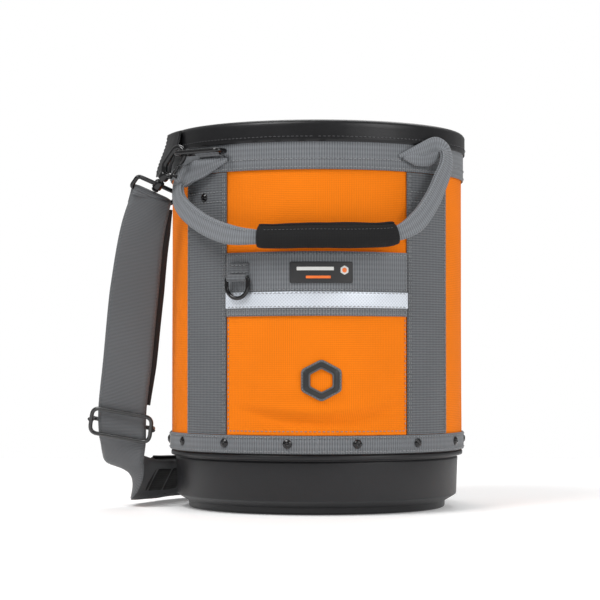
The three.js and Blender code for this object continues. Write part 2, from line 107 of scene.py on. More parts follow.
def unit(v):
    v = np.asarray(v, float)
    return v / np.maximum(np.linalg.norm(v, axis=-1, keepdims=True), 1e-9)


def smooth(x, low, high):
    t = np.clip((np.asarray(x, float) - low) / (high - low), 0, 1)
    return t * t * (3 - 2 * t)


def wobble(seed, *coords, scale=1.0, octaves=3):
    """Smooth repeatable noise from a few sines, for wrinkles and unevenness."""
    draw = random.Random(seed)
    total = 0.0
    for octave in range(octaves):
        wave = sum(draw.uniform(-1, 1) * np.asarray(c, float) for c in coords)
        total = total + np.sin(wave * 2.1 ** octave / scale + draw.uniform(0, 6.28)) / 1.7 ** octave
    return total / 2


def spline(points, count):
    """Centripetal Catmull-Rom through the points, as the CAD's curves are."""
    p = np.asarray(points, float)
    p = np.vstack([2 * p[0] - p[1], p, 2 * p[-1] - p[-2]])
    out = []
    for u in np.linspace(0, len(points) - 1, count):
        i = min(int(u), len(points) - 2)
        w = u - i
        a, b, c, d = p[i:i + 4]
        t1 = max(np.linalg.norm(b - a), 1e-6) ** 0.5
        t2 = max(np.linalg.norm(c - b), 1e-6) ** 0.5
        t3 = max(np.linalg.norm(d - c), 1e-6) ** 0.5
        m1 = ((b - a) / t1 - (c - a) / (t1 + t2) + (c - b) / t2) * t2
        m2 = ((c - b) / t2 - (d - b) / (t2 + t3) + (d - c) / t3) * t2
        out.append((2 * w**3 - 3 * w**2 + 1) * b + (w**3 - 2 * w**2 + w) * m1
                   + (-2 * w**3 + 3 * w**2) * c + (w**3 - w**2) * m2)
    return np.array(out)


def lengths(path):
    step = np.linalg.norm(np.diff(path, axis=0), axis=1)
    return np.concatenate([[0], np.cumsum(step)])


def tangents(path, closed=False):
    if closed:
        return unit(np.roll(path, -1, 0) - np.roll(path, 1, 0))
    return unit(np.gradient(path, axis=0))


# ------------------------------------------------------------------ making objects
def make(name, verts, faces, uvs, material):
    """A mesh object from millimetre vertices; uvs holds one (u, v) per vertex, in metres."""
    mesh = bpy.data.meshes.new(name)
    mesh.from_pydata([tuple(v) for v in np.asarray(verts, float) * MM], [], faces)
    bm = bmesh.new()
    bm.from_mesh(mesh)
    bmesh.ops.recalc_face_normals(bm, faces=bm.faces)
    bm.to_mesh(mesh)
    bm.free()
    layer = mesh.uv_layers.new(name="UVMap")
    flat = np.asarray(uvs, float)
    index = np.empty(len(mesh.loops), int)
    mesh.loops.foreach_get("vertex_index", index)
    layer.data.foreach_set("uv", flat[index].ravel())
    mesh.polygons.foreach_set("use_smooth", [True] * len(mesh.polygons))
    obj = bpy.data.objects.new(name, mesh)
    bpy.context.scene.collection.objects.link(obj)
    mesh.materials.append(material)
    return obj


def sharpen(obj, degrees=38):
    """Keeps crisp edges where faces meet at more than the angle."""
    mesh = obj.data
    bm = bmesh.new()
    bm.from_mesh(mesh)
    for edge in bm.edges:
        edge.smooth = len(edge.link_faces) == 2 and edge.calc_face_angle(0) < math.radians(degrees)
    bm.to_mesh(mesh)
    bm.free()
    return obj


def rings_mesh(name, rings, material, uvs, closed=False, wrap=0.0):
    """Skins a row of equal rings of points, with fan caps at the ends unless it closes.

    wrap is how far U has run when a closed shape comes back to its first ring.
    """
    n, k = rings.shape[:2]
    verts = rings.reshape(-1, 3)
    uv = uvs.reshape(-1, 2)
    faces = []
    for i in range(n if closed else n - 1):
        a, b = i * k, ((i + 1) % n) * k
        for j in range(k):
            m = (j + 1) % k
            faces.append((a + j, a + m, b + m, b + j))
    if not closed:
        faces.append(tuple(range(k)))
        faces.append(tuple(range((n - 1) * k, n * k)))
    obj = make(name, verts, faces, uv, material)
    if wrap:
        layer = obj.data.uv_layers[0].data
        for face in obj.data.polygons[(n - 1) * k:n * k]:
            for loop in face.loop_indices:
                if obj.data.loops[loop].vertex_index < k:
                    layer[loop].uv.x += wrap
    return obj


def lathe(name, profile, material, segments=192, wave=None):
    """Turns a closed [r, z] outline about Z; wave(angle, z) adds to the radius."""
    profile = np.asarray(profile, float)
    angle = np.linspace(0, 360, segments, endpoint=False)
    grid_a, grid_r = np.meshgrid(angle, profile[:, 0], indexing="ij")
    grid_z = np.broadcast_to(profile[:, 1], grid_a.shape)
    radius = grid_r + (wave(grid_a, grid_z) if wave else 0)
    along = lengths(profile)
    uvs = np.stack([np.radians(grid_a) * WALL_R * MM, np.broadcast_to(along * MM, grid_a.shape)], -1)
    return rings_mesh(name, around(radius, grid_a, grid_z), material, uvs, closed=True,
                      wrap=2 * math.pi * WALL_R * MM)


def densify(points, step):
    """Adds points along the straight stretches of an outline."""
    out = []
    points = np.asarray(points, float)
    for a, b in zip(points[:-1], points[1:]):
        count = max(1, int(np.linalg.norm(b - a) / step))
        out += [a + (b - a) * i / count for i in range(count)]
    out.append(points[-1])
    return np.array(out)


def sheet_on(name, angles, levels, inner, thickness, material, edge=0.35):
    """A curved sheet with softly rounded edges; inner(angle, z) is the radius of its back."""
    grid_a, grid_z = np.meshgrid(angles, levels, indexing="ij")
    back = inner(grid_a, grid_z)
    n, m = grid_a.shape
    fade = np.ones((n, m))
    fade[[0, -1], :] = edge
    fade[:, [0, -1]] = edge
    middle = back + thickness / 2
    outer = around(middle + thickness / 2 * fade, grid_a, grid_z)
    under = around(middle - thickness / 2 * fade, grid_a, grid_z)
    uv = np.stack([np.radians(grid_a) * WALL_R * MM, grid_z * MM], -1)
    verts = np.concatenate([outer.reshape(-1, 3), under.reshape(-1, 3)])
    uvs = np.concatenate([uv.reshape(-1, 2)] * 2)
    total = n * m
    faces = []
    for i in range(n - 1):
        for j in range(m - 1):
            a = i * m + j
            quad = (a, a + 1, a + m + 1, a + m)
            faces.append(quad)
            faces.append(tuple(v + total for v in quad))
    border = [j for j in range(m)] + [i * m + m - 1 for i in range(1, n)]
    border += [(n - 1) * m + j for j in range(m - 2, -1, -1)] + [i * m for i in range(n - 2, 0, -1)]
    for a, b in zip(border, border[1:] + border[:1]):
        faces.append((a, b, b + total, a + total))
    return make(name, verts, faces, uvs, material)


def edged(low, high, step, lip=0.5):
    """Even stations from low to high with one extra close to each end, for a tight edge."""
    count = max(2, int(abs(high - low) / step))
    return np.concatenate([[low], np.linspace(low + lip, high - lip, count), [high]])


def tube(name, path, radius, material, sides=16, closed=False):
    """A round wire along a path. radius may vary along it."""
    path = np.asarray(path, float)
    tangent = tangents(path, closed)
    normal = np.zeros_like(path)
    seed = np.cross(tangent[0], [0, 0, 1.0])
    if np.linalg.norm(seed) < 0.1:
        seed = np.cross(tangent[0], [1.0, 0, 0])
    normal[0] = unit(seed)
    for i in range(1, len(path)):
        step = normal[i - 1] - np.dot(normal[i - 1], tangent[i]) * tangent[i]
        normal[i] = unit(step)
    side = np.cross(tangent, normal)
    turn = np.linspace(0, 2 * math.pi, sides, endpoint=False)
    radii = np.broadcast_to(np.asarray(radius, float), (len(path),))
    ring = (normal[:, None] * np.cos(turn)[None, :, None] + side[:, None] * np.sin(turn)[None, :, None])
    rings = path[:, None] + ring * radii[:, None, None]
    run = lengths(path) * MM
    uv = np.stack(np.meshgrid(run, turn * np.mean(radii) * MM, indexing="ij"), -1)
    return rings_mesh(name, rings, material, uv, closed)


def ribbon_frames(path, facing):
    tangent = tangents(path)
    across = unit(np.cross(facing, tangent))
    return across, unit(np.cross(tangent, across))


def ribbon(name, path, facing, width, thickness, material, crown=0.0, ripple=0.0, seed=1, columns=10):
    """Flat webbing along a path: rounded edges, an optional crown across it and light ripples."""
    across, normal = ribbon_frames(path, facing)
    width = np.broadcast_to(np.asarray(width, float), (len(path),))
    x = np.linspace(-1, 1, columns + 1)
    edge_fade = np.where(np.abs(x) > 0.99, 0.3, 1.0)
    run = lengths(path)
    bump = ripple * wobble(seed, run[:, None] / 30, x[None, :] * 1.5)
    lift = crown * (1 - x[None, :] ** 2) + bump
    centre = path[:, None] + across[:, None] * (x[None, :, None] * width[:, None, None] / 2)
    top = centre + normal[:, None] * (lift + thickness / 2 * edge_fade)[..., None]
    under = centre + normal[:, None] * (lift - thickness / 2 * edge_fade)[..., None]
    rings = np.concatenate([top, under[:, ::-1]], axis=1)
    u = np.concatenate([x, x[::-1]])[None, :] * width[:, None] / 2 * MM
    v = np.broadcast_to(run[:, None] * MM, u.shape)
    return rings_mesh(name, rings, material, np.stack([u, v], -1))


def join(name, objects):
    """Joins several meshes into one object, keeping their materials."""
    bpy.ops.object.select_all(action="DESELECT")
    for obj in objects:
        obj.select_set(True)
    bpy.context.view_layer.objects.active = objects[0]
    bpy.ops.object.join()
    objects[0].name = name
    objects[0].data.name = name
    return objects[0]


# ------------------------------------------------------------------ materials
class Nodes:
    """A short way to build one procedural material."""

    def __init__(self, name, roughness=0.6, metallic=0.0, **sockets):
        self.material = bpy.data.materials.new(name)
        self.material.use_nodes = True
        self.tree = self.material.node_tree
        self.shader = self.tree.nodes["Principled BSDF"]
        self.shader.inputs["Roughness"].default_value = roughness
        self.shader.inputs["Metallic"].default_value = metallic
        for socket, value in sockets.items():
            self.shader.inputs[socket.replace("_", " ")].default_value = value

    def node(self, kind, **settings):
        made = self.tree.nodes.new("ShaderNode" + kind)
        for key, value in settings.items():
            if key in made.inputs:
                made.inputs[key].default_value = value
            else:
                setattr(made, key, value)
        return made

    def link(self, out, into):
        self.tree.links.new(out, into)

    def uv(self, scale=(1, 1, 1), turn=0.0):
        source = self.node("UVMap", uv_map="UVMap")
        mapping = self.node("Mapping")
        mapping.inputs["Scale"].default_value = scale
        mapping.inputs["Rotation"].default_value = (0, 0, turn)
        self.link(source.outputs["UV"], mapping.inputs["Vector"])
        return mapping.outputs["Vector"]

    def place(self):
        return self.node("TexCoord").outputs["Object"]

    def math(self, kind, a, b):
        made = self.node("Math", operation=kind)
        for socket, value in zip(made.inputs, (a, b)):
            if isinstance(value, (int, float)):
                socket.default_value = value
            else:
                self.link(value, socket)
        return made.outputs["Value"]

    def noise(self, vector, scale, detail=3.0, roughness=0.5):
        made = self.node("TexNoise", Scale=scale, Detail=detail, Roughness=roughness)
        self.link(vector, made.inputs["Vector"])
        return made.outputs["Fac"]

    def wave(self, vector, scale, direction="X", distortion=0.0):
        made = self.node("TexWave", wave_type="BANDS", bands_direction=direction, wave_profile="SIN",
                         Scale=scale, Distortion=distortion, Detail=1.0)
        self.link(vector, made.inputs["Vector"])
        return made.outputs["Fac"]

    def ramp(self, factor, stops):
        made = self.node("ValToRGB")
        elements = made.color_ramp.elements
        while len(elements) < len(stops):
            elements.new(0.5)
        for element, (place, color) in zip(elements, stops):
            element.position = place
            element.color = (*color, 1)
        self.link(factor, made.inputs["Fac"])
        return made.outputs["Color"]

    def color(self, output):
        self.link(output, self.shader.inputs["Base Color"])

    def rough(self, factor, low, high):
        made = self.node("MapRange")
        made.inputs["To Min"].default_value = low
        made.inputs["To Max"].default_value = high
        self.link(factor, made.inputs["Value"])
        self.link(made.outputs["Result"], self.shader.inputs["Roughness"])

    def bump(self, height, depth, strength):
        made = self.node("Bump", Strength=strength, Distance=depth)
        self.link(height, made.inputs["Height"])
        self.link(made.outputs["Normal"], self.shader.inputs["Normal"])


def tone(color, factor):
    return tuple(min(1.0, c * factor) for c in color)


def woven(name, color, threads=1300, shade=0.82, roughness=0.85, sheen=0.15, **more):
    """Plain weave: threads per metre each way, with slow unevenness in its colour."""
    m = Nodes(name, roughness=roughness, Sheen_Weight=sheen, Sheen_Roughness=0.5, **more)
    uv = m.uv((threads, threads, 1))
    warp = m.wave(uv, 0.31831 / 2, "X")
    weft = m.wave(uv, 0.31831 / 2, "Y")
    check = m.node("TexChecker", Scale=1.0)
    m.link(m.uv((threads, threads, 1)), check.inputs["Vector"])
    height = m.node("Mix", data_type="FLOAT")
    m.link(check.outputs["Fac"], height.inputs["Factor"])
    m.link(warp, height.inputs[2])
    m.link(weft, height.inputs[3])
    slow = m.noise(m.place(), 14.0, 3.0)
    fine = m.noise(m.place(), 900.0, 2.0)
    depth = m.math("MULTIPLY", height.outputs[0], 0.5)
    uneven = m.math("ADD", m.math("MULTIPLY", slow, 0.48), m.math("MULTIPLY", fine, 0.25))
    mixed = m.math("ADD", depth, uneven)
    m.color(m.ramp(mixed, [(0.3, tone(color, shade)), (0.95, tone(color, 1.05))]))
    m.rough(fine, roughness - 0.08, roughness + 0.08)
    m.bump(height.outputs[0], 0.00025, 0.5)
    return m.material


def webbing(name, color, ribs=400, across=200, contrast=0.62, roughness=0.8, turned=False):
    """Ribbed webbing, in ribs per metre of its length (V, or U if turned), broken up by the warp."""
    m = Nodes(name, roughness=roughness, Sheen_Weight=0.2, Sheen_Roughness=0.4)
    uv = m.uv((1, 1, 1), 0.0)
    rib = m.wave(uv, ribs * 0.314159, "X" if turned else "Y", 0.0)
    warp = m.wave(uv, across * 0.314159, "Y" if turned else "X", 0.0)
    grain = m.noise(m.place(), 1400.0, 2.0)
    slow = m.noise(m.place(), 25.0, 3.0)
    body = m.math("ADD", m.math("MULTIPLY", rib, 0.62), m.math("MULTIPLY", warp, 0.2))
    mixed = m.math("ADD", body, m.math("ADD", m.math("MULTIPLY", grain, 0.2), m.math("MULTIPLY", slow, 0.18)))
    m.color(m.ramp(mixed, [(0.2, tone(color, contrast)), (0.6, color), (1.0, tone(color, 1.35))]))
    m.rough(grain, roughness - 0.1, roughness + 0.1)
    m.bump(body, 0.0004, 0.8)
    return m.material


def grained(name, color, roughness, grain=900.0, depth=0.00015, spread=0.12, coat=0.0, scuff=0.25, shine=0.5):
    """Moulded plastic or vinyl: fine grain, slow colour variation and light scuffs."""
    m = Nodes(name, roughness=roughness, Coat_Weight=coat, Coat_Roughness=0.3, Specular_IOR_Level=shine)
    place = m.place()
    cells = m.node("TexVoronoi", Scale=grain, feature="SMOOTH_F1")
    m.link(place, cells.inputs["Vector"])
    slow = m.noise(place, 18.0, 4.0)
    fine = m.noise(place, 260.0, 3.0)
    mixed = m.math("ADD", m.math("MULTIPLY", slow, 0.7), m.math("MULTIPLY", fine, 0.3))
    m.color(m.ramp(mixed, [(0.3, tone(color, 1 - scuff)), (0.7, tone(color, 1 + scuff))]))
    m.rough(mixed, roughness - spread, roughness + spread)
    m.bump(cells.outputs["Distance"], depth, 0.5)
    return m.material


def gloss_metal(name, color, roughness=0.22):
    """Black-coated die-cast metal: shallow casting ripple and small wear on roughness."""
    m = Nodes(name, roughness=roughness, metallic=0.6, Coat_Weight=0.5, Coat_Roughness=0.12)
    place = m.place()
    ripple = m.noise(place, 160.0, 3.0)
    speck = m.noise(place, 1800.0, 2.0)
    m.color(m.ramp(ripple, [(0.35, tone(color, 0.7)), (0.7, tone(color, 1.5))]))
    m.rough(speck, roughness - 0.07, roughness + 0.14)
    m.bump(ripple, 0.0002, 0.25)
    return m.material


def reflective(name):
    """Silver glass-bead tape: bright, faintly metallic, with a fine printed diamond texture."""
    m = Nodes(name, roughness=0.42, metallic=0.35, Specular_IOR_Level=0.6)
    uv = m.uv((1, 1, 1), math.radians(45))
    one = m.wave(uv, 420 * 0.31831, "X")
    two = m.wave(uv, 420 * 0.31831, "Y")
    net = m.math("MAXIMUM", one, two)
    slow = m.noise(m.place(), 30.0, 2.0)
    mixed = m.math("ADD", m.math("MULTIPLY", net, 0.6), m.math("MULTIPLY", slow, 0.4))
    m.color(m.ramp(mixed, [(0.3, (0.50, 0.54, 0.60)), (0.8, (0.70, 0.74, 0.80))]))
    m.rough(net, 0.34, 0.5)
    m.bump(net, 0.00008, 0.4)
    return m.material


def thread(name, color):
    """Sewing thread: a fine twist along each stitch."""
    m = Nodes(name, roughness=0.7, Sheen_Weight=0.2)
    twist = m.wave(m.place(), 900.0, "DIAGONAL")
    m.color(m.ramp(twist, [(0.2, tone(color, 0.65)), (0.8, color)]))
    m.bump(twist, 0.0001, 0.5)
    return m.material


ORANGE = (0.86, 0.195, 0.0015)
GREY = (0.100, 0.106, 0.114)
MAT_WALL = woven("orange_fabric", ORANGE, threads=1100, sheen=0.0, Specular_IOR_Level=0.2)
MAT_POCKET = woven("orange_pocket_fabric", ORANGE, threads=1100, sheen=0.0, Specular_IOR_Level=0.2)
MAT_BLACK_CLOTH = woven("black_grip_fabric", (0.006, 0.006, 0.0065), threads=800, shade=0.5, sheen=0.0,
                        Specular_IOR_Level=0.35)
MAT_LINING = woven("black_lining_fabric", (0.022, 0.022, 0.024), threads=1500, shade=0.6, sheen=0.05)
MAT_PAD = woven("black_pad_fabric", (0.005, 0.005, 0.0055), threads=700, shade=0.5, roughness=0.55, sheen=0.0,
                Specular_IOR_Level=0.35)
MAT_WEB = webbing("grey_webbing", GREY)
# The bands take the grey webbing made lighter: painted light where light falls on them.
MAT_BAND_LIT = webbing("lit_band_webbing", tone(GREY, 1.35), turned=True)
# The handles take the grey webbing made lighter still: painted light where light falls on them.
MAT_HANDLE_LIT = webbing("lit_handle_webbing", tone(GREY, 1.6), contrast=0.7)
MAT_STRAP = webbing("grey_strap_webbing", (0.100, 0.104, 0.110), ribs=700, across=900, contrast=0.7)
# The strap's own webbing painted near black: painted shade for its back layer.
MAT_STRAP_SHADED = webbing("shaded_strap_webbing", (0.008, 0.008, 0.009), ribs=700, across=900, contrast=0.6)
MAT_VINYL = grained("black_rim_vinyl", (0.006, 0.006, 0.007), 0.36, grain=1300.0, depth=0.0002, shine=0.35)
MAT_BASE = grained("black_moulded_base", (0.009, 0.009, 0.0105), 0.4, grain=2200.0, depth=0.0001, shine=0.4)
MAT_SLIDER = grained("black_slider_plastic", (0.012, 0.012, 0.013), 0.2, grain=600.0, depth=0.00005, coat=0.5)
MAT_LABEL = grained("black_label_rubber", (0.016, 0.016, 0.017), 0.55, grain=2500.0, depth=0.00008)
MAT_BADGE = grained("dark_badge_rubber", (0.016, 0.017, 0.018), 0.45, grain=1600.0, depth=0.0001)
MAT_BADGE_EDGE = grained("grey_badge_rubber", (0.10, 0.105, 0.11), 0.5, grain=1600.0, depth=0.0001)
PRINTED = {"grain": 2500.0, "depth": 0.00005, "scuff": 0.08}
MAT_PRINT_LIGHT = grained("label_bars_light", (0.62, 0.62, 0.60), 0.55, **PRINTED)
MAT_PRINT_ORANGE = grained("label_bars_orange", (0.80, 0.16, 0.02), 0.55, **PRINTED)
MAT_FOAM = grained("dark_floor_foam", (0.030, 0.030, 0.032), 0.9, grain=500.0, depth=0.0004)
MAT_SHEET = grained("pale_stiffener_sheet", (0.55, 0.55, 0.53), 0.5, grain=400.0, depth=0.0001, scuff=0.08)
MAT_METAL = gloss_metal("black_hardware", (0.007, 0.007, 0.008))
MAT_RIVET = gloss_metal("black_rivets", (0.005, 0.005, 0.006), 0.2)
MAT_TAPE = reflective("silver_reflective_tape")
MAT_THREAD = thread("light_grey_thread", (0.27, 0.28, 0.29))
MAT_DARK_THREAD = thread("dark_thread", (0.05, 0.05, 0.055))
MAT_STRAP_THREAD = thread("mid_grey_thread", (0.16, 0.165, 0.17))


# ------------------------------------------------------------------ camera, light and floor
def set_stage():
    camera_data = bpy.data.cameras.new("camera")
    camera_data.lens = 118.7
    camera_data.sensor_width = 36
    camera = bpy.data.objects.new("camera", camera_data)
    camera.location = (0, -2.077, 0.1499)
    camera.rotation_euler = (math.radians(91.795), 0, math.radians(0.484))
    bpy.context.scene.collection.objects.link(camera)
    bpy.context.scene.camera = camera

    world = bpy.data.worlds.new("studio")
    bpy.context.scene.world = world
    world.use_nodes = True
    nodes, links = world.node_tree.nodes, world.node_tree.links
    fill = nodes["Background"]
    fill.inputs[0].default_value = (1, 1, 1, 1)
    fill.inputs[1].default_value = 0.34
    paper = nodes.new("ShaderNodeBackground")
    paper.inputs[1].default_value = 1.0
    paper.inputs[0].default_value = (1, 1, 1, 1)
    chosen = nodes.new("ShaderNodeMixShader")
    links.new(nodes.new("ShaderNodeLightPath").outputs["Is Camera Ray"], chosen.inputs[0])
    links.new(fill.outputs[0], chosen.inputs[1])
    links.new(paper.outputs[0], chosen.inputs[2])
    links.new(chosen.outputs[0], nodes["World Output"].inputs[0])

    lamps = [((-1.2, -1.2, 2.2), 1.2, 46), ((1.7, -1.5, 1.3), 1.3, 24), ((0.2, 1.3, 2.2), 1.6, 26)]
    for number, (place, size, power) in enumerate(lamps):
        light = bpy.data.lights.new(f"softbox_{number}", "AREA")
        light.size = size
        light.energy = power
        lamp = bpy.data.objects.new(f"softbox_{number}", light)
        lamp.location = place
        aim = Vector((0, 0, 0.2)) - Vector(place)
        lamp.rotation_euler = aim.to_track_quat("-Z", "Y").to_euler()
        bpy.context.scene.collection.objects.link(lamp)

    floor_mesh = bpy.data.meshes.new("floor")
    reach, back = 3.0, 1.0
    floor_mesh.from_pydata([(-reach, -reach, 0), (reach, -reach, 0), (reach, back, 0), (-reach, back, 0)], [],
                           [(0, 1, 2, 3)])
    floor = bpy.data.objects.new("floor", floor_mesh)
    pale = Nodes("pale_floor", roughness=0.75, Emission_Color=(1, 1, 1, 1), Emission_Strength=0.15)
    shades = [(0.3, (0.93, 0.93, 0.93)), (0.7, (0.95, 0.95, 0.95))]
    pale.color(pale.ramp(pale.noise(pale.place(), 3.0), shades))
    floor_mesh.materials.append(pale.material)
    floor.location.z = CAD_BOX[0][2] - 0.0005
    bpy.context.scene.collection.objects.link(floor)
    bpy.context.scene.view_settings.view_transform = "Standard"


set_stage()


# ------------------------------------------------------------------ placing pieces
def fit(obj, body, slot, *nodes):
    """Rides a body, or keeps its place when given a tuple, and stands for its CAD nodes; slot is not used."""
    if isinstance(body, tuple):
        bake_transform(obj)
    else:
        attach(obj, body)
    if nodes:
        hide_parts(*nodes)
    return obj


def stitch_row(name, points, normals, length=3.0, gap=1.4, thick=0.55, lift=0.25, material=None):
    """A row of thread stitches lying on a surface, each a small tapered bead dipping at its ends."""
    path = np.asarray(points, float)
    normals = unit(normals)
    run = lengths(path)
    verts, uvs, faces = [], [], []
    sides = 5
    profile = [(-0.5, 0.25, -0.35), (-0.3, 0.9, 0.1), (0.0, 1.0, 0.25), (0.3, 0.9, 0.1), (0.5, 0.25, -0.35)]
    for start in np.arange(gap, run[-1] - length, length + gap):
        centre_at = start + length / 2
        base = len(verts)
        for along, fat, up in profile:
            s = centre_at + along * length
            p = np.array([np.interp(s, run, path[:, k]) for k in range(3)])
            n = unit(np.array([np.interp(s, run, normals[:, k]) for k in range(3)]))
            ahead = np.array([np.interp(s + 0.5, run, path[:, k]) for k in range(3)])
            t = unit(ahead - p)
            side = np.cross(n, t)
            for k in range(sides):
                turn = 2 * math.pi * k / sides
                offset = side * math.cos(turn) * thick * fat + n * (math.sin(turn) * thick * fat * 0.8)
                verts.append(p + n * (lift + up * thick) + offset)
                uvs.append((s * MM, k / sides * MM))
        for ring in range(len(profile) - 1):
            a, b = base + ring * sides, base + (ring + 1) * sides
            for k in range(sides):
                m = (k + 1) % sides
                faces.append((a + k, a + m, b + m, b + k))
        faces.append(tuple(base + k for k in range(sides)))
        faces.append(tuple(base + (len(profile) - 1) * sides + k for k in range(sides)))
    return make(name, verts, faces, uvs, material or MAT_THREAD)


def wall_row(name, angles, heights, radius, **kind):
    """Stitches on the bucket's round wall; heights and radius may be numbers or match the angles."""
    angles = np.asarray(angles, float)
    points = around(radius, angles, heights)
    normals = around(1.0, angles, 0.0)
    return stitch_row(name, points, normals, **kind)


# ------------------------------------------------------------------ moulded base
def make_base():
    corner = [[127.5, 0.0], [131.5, 0.0], [132.6, 0.4], [133.3, 1.2], [133.5, 2.2], [133.7, 6.2],
              [134.6, 7.2]]
    chamfer = [[144.3, 13.0], [145.2, 13.7], [145.6, 14.8], [146.9, 50.5], [146.8, 51.6], [146.0, 52.3]]
    ledge = [[145.9, 53.6], [146.4, 54.2], [151.2, 54.5], [151.9, 55.0], [152.0, 55.8], [152.0, 57.8],
             [151.6, 58.7], [150.8, 59.0], [149.8, 59.2]]
    inside = [[149.6, 81.4], [149.2, 82.0], [147.0, 82.0], [146.6, 81.5], [146.5, 61.5], [143.0, 61.5],
              [140.2, 20.0], [138.5, 15.0], [131.5, 6.6], [129.0, 5.4], [0.0, 5.0]]
    profile = [[0.0, 0.0]] + corner + chamfer + ledge + inside
    tub = lathe("base_tub_moulding", profile, MAT_BASE, segments=256)
    fit(sharpen(tub, 50), "bucket", "moulded_base", "base_tub")
    rounded = [[0, 6.4], [124, 6.4], [126, 7.2], [126.6, 8.6], [125.6, 10.0], [123.5, 10.4], [0, 10.4]]
    pad = lathe("floor_pad", rounded, MAT_FOAM, segments=128)
    fit(pad, "bucket", "foam_pad", "base_pad")


# ------------------------------------------------------------------ wall, rim and inside
def wall_wave(angle, z):
    """Slack in the fabric: soft upright folds that fade at the stiff base and rim."""
    fade = smooth(z, 80, 130) * (1 - smooth(z, 300, 345))
    return 0.42 * fade * wobble(3, angle / 9, z / 90)


def make_wall():
    low = 61.5
    z = np.linspace(low, 378, 90)
    outline = np.concatenate([np.stack([np.full_like(z, 151.3), z], -1), [[150.2, 378]],
                              np.stack([np.full(4, 150.0), np.linspace(377.8, low, 4)], -1), [[150.4, low]]])

    def wave(a, h):
        free = np.where(np.isclose(h, 378) | np.isclose(h, low), 0, 1)
        return free * np.maximum(wall_wave(a, h), -0.4)

    wall = lathe("wall_fabric", outline, MAT_WALL, segments=240, wave=wave)
    fit(wall, "bucket", "wall_fabric", "body_shell")
    inside = [[144.9, 62], [146.2, 62], [146.2, 378], [144.9, 378]]
    lining = lathe("lining_fabric", inside, MAT_LINING, segments=160)
    fit(sharpen(lining), "bucket", "lining_fabric", "inner_lining")


def make_rim():
    # The binding is a vinyl strip turned over the hoop, a little uneven where it was sewn.
    arc = [[math.cos(math.radians(t)), math.sin(math.radians(t))] for t in range(0, 181, 15)]
    top = [[149.2 + 6.3 * c, 381.0 + 6.0 * s] for c, s in arc]
    outer = [[155.2, z] for z in np.linspace(365.4, 379, 6)]
    inner = [[142.9, z] for z in np.linspace(379, 365.4, 6)]
    back = [[143.3, 365.0], [144.4, 365.3], [144.5, 383.4], [146.5, 384.6], [152.0, 384.6], [153.8, 383.4],
            [153.9, 365.3], [154.6, 365.0]]
    profile = np.array(outer + top[1:-1] + inner + back)

    def uneven(a, z):
        return 0.28 * wobble(11, a / 4, z / 7) * np.where(z > 365.2, 1, 0) * np.where(z < 383, 1, 0.4)

    binding = lathe("rim_binding_vinyl", profile, MAT_VINYL, segments=288, wave=uneven)
    fit(sharpen(binding, 50), "bucket", "rim_vinyl", "rim_binding")
    angles = np.linspace(0, 360, 500)
    heights = 370.0 + 0.25 * wobble(5, angles / 6)
    thread = {"length": 2.9, "gap": 1.6, "thick": 0.42, "material": MAT_DARK_THREAD}
    row = wall_row("rim_stitching", angles, heights, 155.35, **thread)
    fit(row, "bucket", "rim_vinyl")
    inner_angles = np.linspace(0, 360, 400)
    inside = stitch_row("rim_stitching_inside", around(142.6, inner_angles, 370.0),
                        around(-1.0, inner_angles, 0.0), **thread)
    fit(inside, "bucket", "rim_vinyl")


def band_ring(name, inner, thickness, low, high, material, seed):
    """A webbing ring with rounded edges and slight unevenness."""
    z = edged(low, high, 4)
    fade = np.where((z == low) | (z == high), 0.35, 1.0)
    middle = inner + thickness / 2
    outer = np.stack([middle + thickness / 2 * fade, z], -1)
    back = np.stack([middle - thickness / 2 * fade, z], -1)[::-1]
    outline = np.concatenate([outer, back])

    def uneven(a, h):
        return 0.15 * wobble(seed, a / 5, h / 20)

    return lathe(name, outline, material, segments=288, wave=uneven)


def make_bands():
    top = band_ring("top_band_webbing", SKIN_R, LAYER, BAND_BOTTOM, 380, MAT_BAND_LIT, 21)
    fit(top, "bucket", "grey_webbing", "top_band")
    base = band_ring("base_binding_webbing", SKIN_R - 0.1, LAYER, TAPE_BOTTOM, TAPE_TOP, MAT_BAND_LIT, 22)
    fit(base, "bucket", "grey_webbing", "base_binding")
    angles = np.linspace(0, 360, 500)
    for name, z in (("top_band_stitching_low", 340.6), ("top_band_stitching_high", 348.5),
                    ("base_binding_stitching_low", 62.6), ("base_binding_stitching_high", 76.0)):
        row = wall_row(name, angles, z + 0.2 * wobble(9, angles / 7), SKIN_R + LAYER + 0.05, thick=0.45)
        fit(row, "bucket", "grey_webbing")


def make_strips():
    for side, centre in STRIPS.items():
        angles = centre + edged(-STRIP_HALF, STRIP_HALF, 1.2, 0.25)
        levels = edged(TAPE_TOP + 0.4, BAND_BOTTOM - 0.4, 5)
        inner = lambda a, z: SKIN_R + 0.12 * wobble(31, a / 4, z / 45)
        strip = sheet_on(f"strip_{side}_webbing", angles, levels, inner, LAYER, MAT_WEB)
        fit(strip, "bucket", "grey_webbing", f"strip_{side}")
        rows = []
        heights = np.linspace(TAPE_TOP + 2, BAND_BOTTOM - 2, 70)
        for edge in (-1, 1):
            for inset in (0.75, 1.6):
                angle = centre + edge * (STRIP_HALF - inset) + 0.03 * wobble(8, heights / 30)
                rows.append(wall_row("row", angle, heights, SKIN_R + LAYER + 0.1, thick=0.4))
        across = np.linspace(centre - STRIP_HALF + 1, centre + STRIP_HALF - 1, 24)
        for z in (318.5, 309.0):
            level = z + 0.3 * wobble(6, across)
            rows.append(wall_row("row", across, level, SKIN_R + LAYER + 0.1, thick=0.45))
        fit(join(f"strip_{side}_stitching", rows), "bucket", "grey_webbing")


